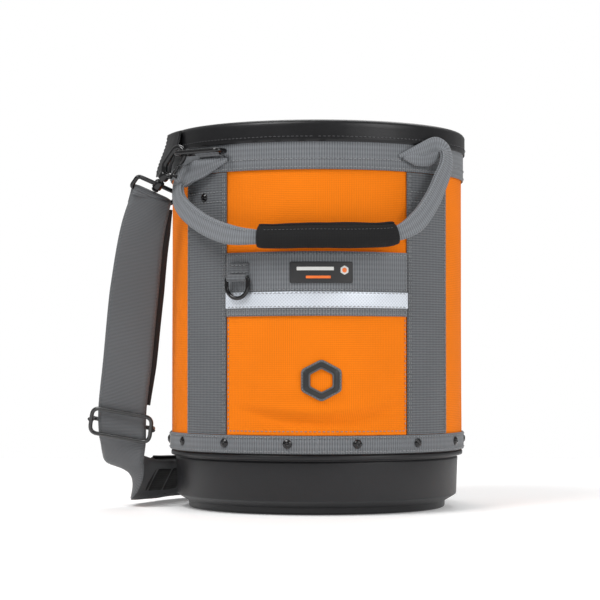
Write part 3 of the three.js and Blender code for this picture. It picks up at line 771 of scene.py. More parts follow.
def make_inside():
    section = [[147.4, 83], [149.6, 83], [149.6, 377], [147.4, 377]]
    sheet = sharpen(lathe("stiffener_sheet", section, MAT_SHEET, 160))
    fit(sheet, "bucket", "stiffener_sheet", "wall_stiffener")
    hoop = [[149.5 + 2.4 * math.cos(t), 381 + 2.4 * math.sin(t)] for t in np.linspace(0, 6.28318, 13)[:-1]]
    fit(lathe("rim_hoop_rod", hoop, MAT_BASE, 160), "bucket", "hoop_plastic", "rim_hoop")
    # Five flat pockets: one panel, gathered a little between its sewn lines.
    pockets = 5
    angles = np.linspace(60, 300, 161)

    def gathered(base):
        def radius(a, z):
            fold = np.abs(np.sin((a - 60) / 240 * pockets * math.pi)) ** 0.5
            return base + (-0.2 - 7.0 * fold * smooth(z, 70, 150))
        return radius

    panel = sheet_on("inner_pocket_panel_fabric", angles, edged(63, 200, 8), gathered(143.0), 1.2, MAT_LINING)
    fit(panel, "bucket", "lining_fabric", "inner_pocket_panel")
    hem = sheet_on("inner_pocket_hem", angles, edged(192, 201, 3), gathered(142.5), 2.2, MAT_WEB)
    fit(hem, "bucket", "grey_webbing")
    loops = 12
    angles = np.linspace(60, 300, 289)

    def looped(a, z):
        return 142.9 - 6.0 * np.abs(np.sin((a - 60) / 240 * loops * math.pi)) ** 0.6

    band = sheet_on("tool_loop_webbing", angles, edged(250, 285, 5), looped, 1.3, MAT_WEB)
    fit(band, "bucket", "grey_webbing", "tool_loop_band")


make_base()
make_wall()
make_rim()
make_bands()
make_strips()
make_inside()


# ------------------------------------------------------------------ front pocket
def pocket_face(angle, z):
    """Radius of the pocket's outer face, as in the CAD, before wrinkles."""
    across = np.cos(np.radians(np.clip(angle / POCKET_REACH, -1, 1) * 90)) ** 2
    return WALL_R + 0.4 + POCKET_BULGE * across * smooth(z, TAPE_TOP, 125) + LAYER


def pocket_folds(angle, z):
    """Soft folds: a smile-shaped crease over the bottom seam and slack in the middle."""
    across = np.cos(np.radians(np.clip(angle / POCKET_REACH, -1, 1) * 90))
    smile = z - (92 + 16 * (angle / POCKET_REACH) ** 2)
    crease = -2.6 * np.exp(-(smile / 4.5) ** 2) + 2.2 * np.exp(-((smile - 10) / 6) ** 2)
    slack = 0.9 * wobble(41, angle / 8, z / 40) * smooth(z, 85, 120) * (1 - smooth(z, 175, 200))
    return across * (crease + slack)


def make_pocket():
    angles = edged(-POCKET_REACH, POCKET_REACH, 0.9, 0.2)
    levels = edged(TAPE_TOP + 0.4, POCKET_TOP, 2.2, 0.4)

    def back(a, z):
        return pocket_face(a, z) - LAYER + pocket_folds(a, z)

    panel = sheet_on("front_pocket_fabric", angles, levels, back, LAYER, MAT_POCKET)
    fit(panel, "bucket", "pocket_fabric", "front_pocket")

    def laid(name, low, high, lift, thickness, material):
        levels = edged(low, high, 3, 0.3)
        return sheet_on(name, angles, levels, lambda a, z: pocket_face(a, z) + lift, thickness, material)

    band = laid("pocket_band_webbing", 194.6, POCKET_TOP + 0.3, 0.4, 1.4, MAT_BAND_LIT)
    fit(band, "bucket", "grey_webbing", "pocket_band")
    tape = laid("reflective_tape_strip", 202.5, 218.0, 2.2, 0.5, MAT_TAPE)
    fit(tape, "bucket", "reflective_tape", "reflective_tape")
    rows = []
    run = np.linspace(-POCKET_REACH + 0.6, POCKET_REACH - 0.6, 120)
    for z, lift in ((196.4, 1.85), (200.6, 1.85), (203.6, 2.75), (216.9, 2.75), (219.9, 1.85), (254.6, 1.85),
                    (82.2, 0.05)):
        rows.append(wall_row("row", run, z, pocket_face(run, z) + lift, thick=0.4))
    tall = np.linspace(82, POCKET_TOP - 1, 80)
    for edge in (-1, 1):
        side = np.full_like(tall, edge * (POCKET_REACH - 0.7))
        lift = np.where(tall > 194.6, 1.85, 0.1)
        rows.append(wall_row("row", side, tall, pocket_face(side, tall) + lift, thick=0.4))
    fit(join("front_pocket_stitching", rows), "bucket", "grey_webbing")


def plate_on_pocket(name, outline, lift, thickness, material, centre, bevel=0.5):
    """A flat moulded shape on the pocket: [x, z] outline round a centre, with a rounded front edge."""
    angle, height = centre
    outline = np.asarray(outline, float)
    shape = densify(np.vstack([outline, outline[:1]]), 2.5)[:-1]
    inset = shape * (1 - bevel / np.maximum(np.linalg.norm(shape, axis=1, keepdims=True), bevel))
    stations = [(shape, 0.0), (shape, thickness - bevel), ((shape + inset) / 2, thickness - 0.25 * bevel),
                (inset, thickness)]
    stations += [(inset * share, thickness) for share in (0.8, 0.6, 0.4, 0.2, 0.02)]
    rings = []
    for points, depth in stations:
        a = angle + np.degrees(points[:, 0] / POCKET_R)
        z = height + points[:, 1]
        rings.append(around(pocket_face(a, z) + lift + depth, a, z))
    rings = np.array(rings)
    uv = np.broadcast_to(shape * MM, rings.shape[:2] + (2,))
    return sharpen(rings_mesh(name, rings, material, uv), 60)


def round_outline(points, radius, steps=5):
    """Rounds each corner of an outline with an arc-like curve."""
    points = [np.asarray(p, float) for p in points]
    out = []
    for before, corner, after in zip(points[-1:] + points[:-1], points, points[1:] + points[:1]):
        start = corner + unit(before - corner) * radius
        end = corner + unit(after - corner) * radius
        for t in np.linspace(0, 1, steps):
            out.append((1 - t) ** 2 * start + 2 * t * (1 - t) * corner + t * t * end)
    return np.array(out)


def regular(sides, radius, squash=1.0):
    turns = [2 * math.pi * (k + 0.5) / sides for k in range(sides)]
    return [(radius * math.cos(t), radius * squash * math.sin(t)) for t in turns]


def ring_on_pocket(name, outer, inner, lift, thickness, material, centre):
    """A flat ring between two outlines with as many points each, lying on the pocket's face."""
    rings = []
    for outline, depth in ((outer, 0.0), (outer, thickness * 0.7), (outer * 0.985, thickness),
                           (inner * 1.02, thickness), (inner, thickness * 0.7), (inner, 0.0)):
        closed = np.vstack([outline, outline[:1]])
        share = np.linspace(0, 1, 145)[:-1]
        run = lengths(closed) / lengths(closed)[-1]
        points = np.stack([np.interp(share, run, closed[:, k]) for k in range(2)], -1)
        a = centre[0] + np.degrees(points[:, 0] / POCKET_R)
        z = centre[1] + points[:, 1]
        rings.append(around(pocket_face(a, z) + lift + depth, a, z))
    rings = np.array(rings)
    uv = np.broadcast_to(np.zeros(2), rings.shape[:2] + (2,))
    return sharpen(rings_mesh(name, rings, material, uv, closed=True), 50)


def hexagon(radius, corner):
    return round_outline(regular(6, radius, 0.9), corner, 7)


def make_badge():
    # A generic hexagonal ring: a grey edge, a dark band on it and the pocket showing in its middle.
    edge = ring_on_pocket("edge", hexagon(23, 3.2), hexagon(12.6, 1.8), 0.4, 1.2, MAT_BADGE_EDGE, BADGE_CENTRE)
    band = ring_on_pocket("band", hexagon(20.4, 2.8), hexagon(14.6, 2.0), 1.4, 1.1, MAT_BADGE, BADGE_CENTRE)
    parts = [edge, band]
    fit(join("hexagon_badge", parts), "bucket", "badge_rubber", "badge")
    row = hexagon(21.7, 3.0)
    row = np.vstack([row, row[:1]])
    a = BADGE_CENTRE[0] + np.degrees(row[:, 0] / POCKET_R)
    z = BADGE_CENTRE[1] + row[:, 1]
    stitches = wall_row("badge_stitching", a, z, pocket_face(a, z) + 1.55, length=2.0, gap=1.0, thick=0.3)
    fit(stitches, "bucket", "badge_rubber")


def rectangle(width, height):
    x, z = width / 2, height / 2
    return [(-x, -z), (x, -z), (x, z), (-x, z)]


def make_label():
    centre = (POCKET_MIDDLE, 236.7)
    panel = round_outline(rectangle(62.0, 20.6), 1.6)
    parts = [plate_on_pocket("plate", panel, 2.15, 1.0, MAT_LABEL, centre)]
    # Plain bars stand where a maker's panel would be: one pale, one orange, and a small pale hexagon.
    bars = [(-6.0, 3.6, 36.0, 3.4, MAT_PRINT_LIGHT), (-3.0, -4.6, 24.0, 2.6, MAT_PRINT_ORANGE)]
    for x, z, wide, tall, material in bars:
        box = round_outline(rectangle(wide, tall), 0.5)
        place = (centre[0] + math.degrees(x / POCKET_R), centre[1] + z)
        parts.append(plate_on_pocket("bar", box, 3.0, 0.4, material, place, 0.15))
    place = (centre[0] + math.degrees(22.5 / POCKET_R), centre[1] + 2.2)
    hexagons = [(4.6, 0.6, 3.0, MAT_PRINT_LIGHT), (2.6, 0.5, 3.2, MAT_PRINT_ORANGE)]
    for radius, corner, lift, material in hexagons:
        shape = round_outline(regular(6, radius), corner)
        parts.append(plate_on_pocket("hexagon", shape, lift, 0.4, material, place, 0.15))
    fit(join("label_patch_moulded", parts), "bucket", "label_patch", "label_patch")


# ------------------------------------------------------------------ rivets
def make_rivet(name, angle, z, skin):
    """A domed rivet head with a pressed ring and a small centre dimple."""
    out = around(1.0, angle, 0.0)
    side = around(1.0, angle + 90, 0.0)
    up = np.array([0, 0, 1.0])
    centre = around(skin, angle, z)
    outline = [(0.0, 1.5), (0.6, 1.55), (1.0, 1.95), (1.6, 2.15), (2.6, 1.95), (3.3, 1.4), (3.6, 1.0),
               (4.2, 0.85), (4.5, 0.55), (4.5, 0.0)]
    turns = np.linspace(0, 2 * math.pi, 28, endpoint=False)
    rings = []
    for r, lift in outline[1:]:
        rings.append([centre + out * lift + side * (r * math.cos(t)) + up * (r * math.sin(t)) for t in turns])
    rings = np.array(rings)
    uv = np.zeros(rings.shape[:2] + (2,))
    return sharpen(rings_mesh(name, rings, MAT_RIVET, uv), 50)


def make_rivets():
    skin = SKIN_R + LAYER + 0.15
    for number in range(14):
        angle = (number + 0.5) * 360 / 14 + 2.1
        head = make_rivet(f"base_rivet_head_{number + 1:02d}", angle, 70.0, skin)
        fit(head, "bucket", "rivet_metal", f"base_rivet_{number + 1:02d}")
    for side, angle in STRIPS.items():
        head = make_rivet(f"strip_rivet_head_{side}", angle, 314.0, skin)
        fit(head, "bucket", "rivet_metal", f"strip_rivet_{side}")


make_pocket()
make_badge()
make_label()
make_rivets()


# ------------------------------------------------------------------ D-ring, strap rings and their loops
class Local:
    """A place on the bucket with its own axes: along, out and up."""

    def __init__(self, origin, along, up):
        self.origin = np.asarray(origin, float)
        self.up = unit(up)
        self.along = unit(np.asarray(along, float) - np.dot(along, self.up) * self.up)
        self.deep = np.cross(self.up, self.along)

    def __call__(self, points):
        p = np.atleast_2d(np.asarray(points, float))
        return self.origin + p[:, :1] * self.along + p[:, 1:2] * self.deep + p[:, 2:3] * self.up


def flat_outward(angle):
    return around(1.0, angle, 0.0)


def hem_loop(name, place, width, bar_r, tail, tail_depth, material, thick=1.4):
    """Webbing hemmed round a bar: a loop section with a sewn tail, seen side-on, swept along the bar."""
    turns = np.radians(np.linspace(-70, 250, 26))
    loop = [(bar_r * math.cos(t), bar_r * math.sin(t)) for t in turns]
    direction = 1 if tail > 0 else -1
    end = [(tail_depth, direction * (abs(tail) + 6)), (tail_depth + 0.3, direction * 4.0)]
    rows = edged(-width / 2, width / 2, 2.0, 0.4)
    route = np.array(end + [(a, direction * b) for a, b in loop])
    run = lengths(route)
    tangent = unit(np.gradient(route, axis=0))
    normal = np.stack([-tangent[:, 1], tangent[:, 0]], -1)
    rings = []
    for x in rows:
        slim = 0.35 if abs(x) >= width / 2 else 1.0
        outer = route + normal * thick / 2 * slim
        inner = route - normal * thick / 2 * slim
        outline = np.concatenate([outer, inner[::-1]])
        rings.append(place(np.stack([np.full(len(outline), x), outline[:, 0], outline[:, 1]], -1)))
    rings = np.array(rings)
    u = np.broadcast_to((rows * MM)[:, None], rings.shape[:2])
    v = np.broadcast_to(np.concatenate([run, run[::-1]])[None] * MM, rings.shape[:2])
    return rings_mesh(name, rings, material, np.stack([u, v], -1))


DRING_ANGLE, DRING_Z = -29.0, 232.0
DRING_R = float(pocket_face(DRING_ANGLE, DRING_Z)) + 0.8 + 1.5 + 4.4


def make_d_ring():
    out = flat_outward(DRING_ANGLE)
    side = flat_outward(DRING_ANGLE + 90)
    origin = around(DRING_R, DRING_ANGLE, DRING_Z)
    up = np.array([0, 0, 1.0])
    turns = np.radians(np.linspace(186, 354, 26))
    bow = [(12.2 * math.cos(t), -7.5 + 12.2 * math.sin(t)) for t in turns]
    corner = round_outline([(12.2, 0.0), (-12.2, 0.0), (-12.2, -7.5), (12.2, -7.5)], 1.8, 5)[:10]
    outline = list(corner) + bow
    path = np.array([origin + side * x + up * z for x, z in outline])
    ring = tube("d_ring_wire", path, 2.0, MAT_METAL, 20, closed=True)
    fit(ring, "pocket_d_ring", "ring_metal", "d_ring")
    place = Local(origin, side, up)
    tab = hem_loop("d_ring_tab_webbing", place, 22.0, 2.9, 9.0, 3.4, MAT_WEB)
    fit(tab, "bucket", "grey_webbing", "d_ring_tab")
    rows = []
    for z in (5.6, 12.6):
        line = np.array([[x, 2.55, z] for x in np.linspace(-9.5, 9.5, 12)])
        rows.append(stitch_row("row", place(line), np.tile(out, (12, 1)), thick=0.42))
    fit(join("d_ring_tab_stitching", rows), "bucket", "grey_webbing")


RING_AZIMUTH, RING_BAR_R, RING_Z = -36.87, 158.2, 358.0
RING_SHIFT, RING_LONG, RING_DEEP, RING_WIRE = -20.0, 55.0, 15.0, 2.4
HOOK_WIRE, HOOK_BOW, HOOK_DROP = 2.8, 7.6, 40.0
DROPS = {"left": (-0.549, 0.412, -0.726), "right": (0.0, 0.0, -1.0)}
LOOP_ALONG = {"left": (0.808, 0.484, -0.336), "right": (-0.6, 0.8, 0.0)}
TURNS = {"left": 0.0, "right": 180.0}


def hook_place(side):
    """The hook's own axes: X across its mouth, Z up its swivel; and the swivel's middle."""
    out = flat_outward(RING_AZIMUTH + TURNS[side])
    along = flat_outward(RING_AZIMUTH + TURNS[side] + 90)
    origin = around(RING_BAR_R, RING_AZIMUTH + TURNS[side], RING_Z)
    up = -unit(DROPS[side])
    mouth = -unit(np.cross(up, out))
    caught = origin + along * (RING_SHIFT - RING_LONG / 2) + out * RING_DEEP / 2
    caught = caught + up * (-HOOK_BOW + HOOK_WIRE + RING_WIRE + 0.8)
    return Local(caught, mouth, up), caught + up * (-HOOK_DROP + 1)


def make_ring(side):
    turn = TURNS[side]
    out, along = flat_outward(RING_AZIMUTH + turn), flat_outward(RING_AZIMUTH + turn + 90)
    origin = around(RING_BAR_R, RING_AZIMUTH + turn, RING_Z)
    centre = origin + along * RING_SHIFT + out * RING_DEEP / 2
    half_x, half_y = RING_LONG / 2, RING_DEEP / 2
    corners = [(half_x, -half_y), (half_x, half_y), (-half_x, half_y), (-half_x, -half_y)]
    outline = round_outline(corners, 5.0, 9)
    straight = densify(np.vstack([outline, outline[:1]]), 3.0)[:-1]
    path = np.array([centre + along * x + out * y for x, y in straight])
    fit(tube(f"strap_ring_{side}_wire", path, RING_WIRE, MAT_METAL, 20, closed=True), f"strap_ring_{side}",
        "ring_metal", f"strap_ring_{side}")
    place = Local(origin + along * RING_SHIFT * 0.75, along, (0, 0, 1))
    loop = hem_loop(f"ring_loop_{side}_webbing", place, 30.0, 3.35, -2.6, 3.6, MAT_WEB)
    fit(loop, "bucket", "grey_webbing", f"ring_loop_{side}")


def turned_on(profile, seat):
    """A turned metal piece; its profile is [radius, height] on the seat's own upright axis."""
    turns = np.linspace(0, 2 * math.pi, 28, endpoint=False)
    rings = np.array([seat(np.stack([r * np.cos(turns), r * np.sin(turns), np.full(28, z)], -1))
                      for r, z in profile])
    return sharpen(rings_mesh("turned", rings, MAT_METAL, np.zeros(rings.shape[:2] + (2,))), 45)


def make_hook(side):
    place, swivel = hook_place(side)
    turns = np.radians(range(0, 181, 20))
    bow = [(HOOK_BOW * math.cos(t), 0, HOOK_BOW * math.sin(t)) for t in turns]
    shank = [(2.5, 0, -25), (HOOK_BOW - 0.6, 0, -19), (HOOK_BOW, 0, -12)]
    route = spline(shank + bow + [(-HOOK_BOW, 0, -5.5)], 60)
    fat = np.interp(np.linspace(0, 1, 60), [0, 0.15, 0.5, 0.8, 0.96, 1], [3.6, 3.1, 2.7, 2.6, 2.4, 1.3])
    parts = [tube("wire", place(route), fat, MAT_METAL, 18)]
    collar = [(3.2, -22.6), (4.6, -23.2), (5.4, -24.6), (5.5, -29.5), (4.9, -31.3), (3.2, -32.0)]
    stem = [(2.2, -31.0), (2.2, -44.6), (3.6, -44.7), (3.9, -45.6), (3.2, -46.4), (1.2, -46.6)]
    parts += [turned_on(collar, place), turned_on(stem, place)]
    foot = spline([(2.5, 0, -25.5), (-3.5, 0, -24.5), (-HOOK_BOW, 0, -22.0)], 16)
    parts.append(tube("foot", place(foot), np.linspace(3.4, 2.3, 16), MAT_METAL, 16))
    fit(join(f"snap_hook_{side}_body", parts), f"snap_hook_{side}", "hook_metal", f"snap_hook_{side}")
    lever = spline([(-HOOK_BOW, 0, -20.5), (-HOOK_BOW - 0.5, 0, -14), (-HOOK_BOW + 0.2, 0, -8.2)], 18)
    thumb = spline([(-HOOK_BOW, 0, -18.4), (-11.0, 0, -18.2), (-13.0, 0, -17.2)], 12)
    swelling = np.interp(np.linspace(0, 1, 12), [0, 0.6, 0.9, 1], [1.5, 1.7, 2.0, 1.2])
    gate = [tube("lever", place(lever), 1.7, MAT_METAL, 14),
            tube("thumb", place(thumb), swelling, MAT_METAL, 14)]
    fit(join(f"hook_gate_{side}_lever", gate), f"hook_gate_{side}", "hook_metal", f"hook_gate_{side}")
    seat = Local(swivel, LOOP_ALONG[side], place.up)
    frame_line = round_outline([(24, 0), (24, -14), (-24, -14), (-24, 0)], 4.0, 8)
    frame_line = densify(np.vstack([frame_line, frame_line[:1]]), 3.0)[:-1]
    path = seat([(x, 0, z) for x, z in frame_line])
    parts = [tube("frame", path, 2.2, MAT_METAL, 18, closed=True)]
    barrel = [(2.7, -4.4), (4.1, -4.5), (4.8, -3.9), (5.1, -2.4), (4.9, 0), (5.1, 2.4), (4.8, 3.9),
              (4.1, 4.5), (2.7, 4.4)]
    parts.append(turned_on(barrel, seat))
    fit(join(f"end_loop_{side}_frame", parts), "shoulder_strap", "hook_metal", f"end_loop_{side}")


def make_guard(side):
    """Vinyl flap over the rim beside the ring, with a bound edge that curls away from the wall."""
    turn = TURNS[side]
    angles = turn + edged(-78.3, -61.2, 1.0, 0.3)
    flare = 12 if side == "left" else 1

    def back(a, z):
        return 156.1 + flare * smooth(385 - z, 0, 46) + 0.4 * wobble(51, a / 3, z / 12)

    flap = sheet_on(f"rim_guard_{side}_flap", angles, edged(341, 385, 2.5, 0.4), back, 1.9, MAT_VINYL)
    fit(flap, "bucket", "rim_vinyl", f"rim_guard_{side}")
    run = np.linspace(turn - 77.2, turn - 62.3, 30)
    thread = {"length": 2.6, "gap": 1.4, "thick": 0.4, "material": MAT_DARK_THREAD}
    rows = [wall_row("row", run, 344.0, back(run, 344.0) + 1.95, **thread)]
    tall = np.linspace(344, 384, 30)
    for angle in (turn - 77.2, turn - 62.3):
        side_run = np.full_like(tall, angle)
        rows.append(wall_row("row", side_run, tall, back(side_run, tall) + 1.95, **thread))
    fit(join(f"rim_guard_{side}_stitching", rows), "bucket", "rim_vinyl")


make_d_ring()
for hand in ("left", "right"):
    make_ring(hand)
    make_hook(hand)
    make_guard(hand)


# ------------------------------------------------------------------ handles and grip
HANDLE_RUN = [(-138, -89.5, 330), (-138, -99, 312), (-118, -125, 290), (-88, -149, 275), (-57, -164, 271),
              (0, -174, 271), (40, -170.5, 271), (77, -157.5, 274.5), (97, -144, 286), (112, -130.5, 306),
              (122.5, -117, 328)]
LEFT_ROOT = [(-88, -126.2, 350.5), (-101, -119, 347), (-114, -110.5, 343), (-127, -99.5, 339)]
RIGHT_ROOT = [(129.5, -107.5, 348), (128, -103, 362), (119, -106, 367), (102, -120, 360), (81, -131, 352.5)]
FRONT_WIDTHS = [3, 12, 19, 21, 20, 20, 20, 20, 14, 13, 13, 14, 20, 20, 20, 18, 16, 15, 12, 3]
RIGHT_FOLD = [(85, -130.5, 351), (98, -122.5, 350.5), (111, -112.5, 352), (122, -105, 357)]
REAR_HALF = [(84, 133.5, 337), (84, 135.5, 330), (81, 140, 314), (70, 150, 296), (50, 160, 281),
             (25, 166.5, 273)]
# The section of webbing folded lengthwise: share of the half width, then millimetres out.
FOLDED = [(-0.90, 2.1), (-0.6, 2.5), (0.0, 2.5), (0.6, 2.5), (0.92, 2.35), (1.0, 1.6), (0.98, 0.7),
          (0.86, 0.3), (0.60, 0.28), (0.55, 0.0), (0.60, -0.28), (0.86, -0.3), (0.98, -0.7), (1.0, -1.6),
          (0.92, -2.35), (0.6, -2.5), (0.0, -2.5), (-0.6, -2.5), (-0.90, -2.1), (-1.0, -1.1), (-1.02, 0.0), (-1.0, 1.1)]


def level_out(path):
    return unit(path * [1, 1, 0])


def swept(name, path, facing, outline, widths, material, thick=1.0):
    """A closed section swept along a path; its first column is scaled by half the width there."""
    across, normal = ribbon_frames(path, facing)
    shape = np.asarray(outline, float)
    half = np.asarray(widths, float)[:, None] / 2
    thick = np.broadcast_to(np.asarray(thick, float), (len(path),))[:, None]
    a = shape[None, :, 0] * half
    n = shape[None, :, 1] * thick
    rings = path[:, None] + across[:, None] * a[..., None] + normal[:, None] * n[..., None]
    around_it = lengths(shape * [widths[len(path) // 2] / 2, 1])
    u = np.broadcast_to(around_it[None] * MM, a.shape)
    v = np.broadcast_to(lengths(path)[:, None] * MM, a.shape)
    return rings_mesh(name, rings, material, np.stack([u, v], -1))


def edge_row(name, path, facing, widths, share, out, part=(0.0, 1.0), **kind):
    """Stitches along a strip, at a share of its half width and some millimetres out of its face."""
    across, normal = ribbon_frames(path, facing)
    line = path + across * (np.asarray(widths)[:, None] / 2 * share) + normal * out
    first, last = int(part[0] * len(path)), int(part[1] * len(path))
    return stitch_row(name, line[first:last], normal[first:last] * np.sign(out), **kind)


def make_front_handle():
    guide = LEFT_ROOT + HANDLE_RUN + RIGHT_ROOT
    count = 200
    path = spline(guide, count)
    at = np.linspace(0, len(guide) - 1, count)
    widths = np.interp(at, range(len(guide)), FRONT_WIDTHS)
    thick = np.interp(at, [0, 2, 3, 17, 19], [0.45, 0.8, 1, 1, 0.45])
    wave = wobble(61, at * 2.2) * 0.5 * np.interp(at, [0, 3, 8, 12, 17, 19], [0, 1, 0, 0, 1, 0])
    facing = level_out(path)
    path = path + facing * wave[:, None]
    strap = swept("front_handle_webbing", path, facing, FOLDED, widths, MAT_HANDLE_LIT, thick)
    rows = [edge_row("row", path, facing, widths, 0.70, 2.5, (0.14, 0.41), length=2.4, gap=1.3, thick=0.42),
            edge_row("row", path, facing, widths, 0.70, 2.5, (0.63, 0.9), length=2.4, gap=1.3, thick=0.42)]
    stitches = join("front_handle_stitching", rows)
    fold_path = spline(RIGHT_FOLD, 50)
    fold_width = np.interp(np.linspace(0, 3, 50), [0, 1, 2, 3], [2, 13, 15, 8])
    fold = ribbon("front_handle_root_fold", fold_path, level_out(fold_path), fold_width, 1.8, MAT_HANDLE_LIT,
                  crown=1.0)
    bending = ("bucket", "front_handle", (0, -0.112, 0.345), (0, -0.122, 0.318))
    fit(fold, bending, "handle_webbing")
    fit(strap, bending, "handle_webbing", "front_handle_strap")
    fit(stitches, bending, "handle_webbing")


def grip_section(front, lip, wave):
    """The grip's shell in [out, up] round the webbing, as a middle line: an arc and a lip above it."""
    turns = np.radians(np.linspace(-78, 80, 16) if front else np.linspace(270, 88, 16))
    arc = np.stack([7.2 * np.cos(turns), 10.4 * np.sin(turns)], -1)
    top = arc[-1]
    out = 1.0 if front else -1.0
    lips = [top + [out * (0.15 + 0.3 * wave), lip * 0.5], top + [out * (0.4 + 0.9 * wave), lip]]
    return np.vstack([arc, lips])


def grip_shell(name, front, slot, body, node):
    guide = HANDLE_RUN[3:9]
    path = spline(guide, 90)
    u = np.linspace(0, 5, 90)
    keep = (u >= 1.0) & (u <= 4.0)
    path, u = path[keep], u[keep]
    facing = level_out(path)
    across, normal = ribbon_frames(path, facing)
    rings, run = [], lengths(path)
    for i in range(len(path)):
        end = min(i, len(path) - 1 - i)
        plump = 1.0 - 0.06 * math.exp(-end / 1.2) + 0.02 * float(wobble(71 + front, run[i] / 11))
        wave = float(wobble(72 + front, run[i] / 9))
        lip = (1.6 if front else 2.9) + 0.8 * float(wobble(74 + front, run[i] / 13))
        middle = grip_section(front, max(lip, 0.6), wave) * [plump, plump]
        tangent = unit(np.gradient(middle, axis=0))
        side = np.stack([tangent[:, 1], -tangent[:, 0]], -1) * (1 if front else -1)
        slim = np.ones(len(middle))
        slim[0], slim[-1] = 0.5, 0.45
        outer = middle + side * slim[:, None] * 0.95
        inner = middle - side * slim[:, None] * 0.85
        section = np.vstack([outer, inner[::-1]])
        rings.append(path[i] + normal[i] * section[:, :1] + across[i] * section[:, 1:])
    rings = np.array(rings)
    half = rings.shape[1] // 2
    girth = np.concatenate([np.linspace(0, 0.032, half), np.linspace(0.032, 0, rings.shape[1] - half)])
    uv = np.stack(np.broadcast_arrays(girth[None, :], run[:, None] * MM), -1)
    fit(rings_mesh(name, rings, MAT_BLACK_CLOTH, uv), body, slot, node)
    edge = path + normal * (8.15 if front else -8.15) + across * 6.6
    facing_out = normal[2:-2] * (1 if front else -1)
    row = stitch_row(f"{name}_stitching", edge[2:-2], facing_out, length=2.4, gap=1.3, thick=0.3, lift=-0.6,
                     material=MAT_DARK_THREAD)
    fit(row, body, slot)


def make_rear_handle():
    rest = [(-x, y, z) for x, y, z in reversed(REAR_HALF)]
    guide = REAR_HALF + [(0, 168.5, 271)] + rest
    path = spline(guide, 120)
    at = np.linspace(0, len(guide) - 1, 120)
    widths = np.interp(at, [0, 1, 2, 5, 6, 7, 10, 11, 12], [19, 20, 20, 20, 20, 20, 20, 20, 19])
    facing = level_out(path)
    strap = swept("rear_handle_webbing", path, facing, FOLDED, widths, MAT_HANDLE_LIT)
    row = edge_row("rear_handle_stitching", path, facing, widths, 0.70, 2.5, (0.06, 0.94), length=2.4,
                   gap=1.3, thick=0.42)
    bending = ("bucket", "rear_handle", (0, 0.136, 0.336), (0, 0.142, 0.314))
    fit(strap, bending, "handle_webbing", "rear_handle_strap")
    fit(row, bending, "handle_webbing")


# ------------------------------------------------------------------ shoulder strap, pad and slider
SLIDER_AT = np.array([-200.3, -39.5, 86.0])
SLIDER_FACE = unit((-0.13, -0.985, -0.13))
SLIDER_ALONG = unit((0.976, -0.11, -0.165))
PAD_FROM, PAD_TO = 7.3, 16.2    # along the strap, counted in its guide points
FLOOR_R, FLOOR_Z = 172.0, 24.5


def floor_facing(angle):
    tilt = math.radians(28)
    return around(1.0, angle, 0.0) * math.cos(tilt) + np.array([0, 0, math.sin(tilt)])


def strap_guide():
    """Middle line, facing and width of the whole shoulder strap, left hook to right hook."""
    left, right = hook_place("left")[1], hook_place("right")[1]
    drop = unit(DROPS["left"])
    face = -unit(np.cross(unit(LOOP_ALONG["left"]), drop))
    rows = [(left + drop * 14 + face * 3.4, face, 43), ((-176, -82, 282), (0.35, -0.93, 0.1), 46),
            ((-186, -64, 220), (0.2, -0.97, 0.2), 50), ((-194, -50, 150), (0.05, -0.98, 0.15), 50),
            ((-200, -41, 99), (-0.05, -1, 0.1), 50), ((-200, -37, 70), (-0.2, -0.97, 0.1), 50),
            ((-200, -25, 46), (-0.45, -0.88, 0.1), 50), ((-189, -5, 30), (-0.8, -0.5, 0.3), 48)]
    for angle in np.linspace(-106, -216, 10):
        rows.append((around(FLOOR_R, angle, FLOOR_Z), floor_facing(angle), 47))
    out = around(1.0, 127, 0)
    end = right - np.array([0, 0, 14.0]) + out * 3.4
    rows += [(around(172.5, 137, 28), (0.7, 0.66, 0.25), 48), (around(172, 130.5, 45), (0.77, 0.63, 0.1), 50),
             ((137, 103.5, 80), out, 50), ((137, 103.5, 190), out, 50),
             (end - np.array([0, 0, 30.0]), out, 46), (end, out, 43)]
    return rows


def strap_run(count):
    rows = strap_guide()
    at = np.linspace(0, len(rows) - 1, count)
    path = spline([r[0] for r in rows], count)
    facing = np.stack([np.interp(at, range(len(rows)), [r[1][k] for r in rows]) for k in range(3)], -1)
    widths = np.interp(at, range(len(rows)), [r[2] for r in rows])
    return at, path, unit(facing), widths


def bar_hem(name, side):
    """The strap's end turned round the hook's loop and sewn down."""
    swivel = hook_place(side)[1]
    drop, along = unit(DROPS[side]), unit(LOOP_ALONG[side])
    face = -unit(np.cross(along, drop)) if side == "left" else around(1.0, 127, 0)
    bar = swivel + drop * 14
    turns = np.radians(np.linspace(180, 0, 13))
    arc = [bar + face * 3.5 * math.cos(t) - drop * 3.5 * math.sin(t) for t in turns]
    path = strap_run(360)[1]
    hang = unit(path[8] - path[0]) if side == "left" else unit(path[-9] - path[-1])
    route = [bar - face * 3.0 + hang * 15, bar - face * 3.5 + hang * 7] + arc + [bar + face * 3.4 + hang * 3]
    route = spline(route, 60)
    tangent = tangents(route)
    outward = unit(np.cross(tangent, along))
    return ribbon(name, route, outward, 43, 2.3, MAT_STRAP, columns=8)


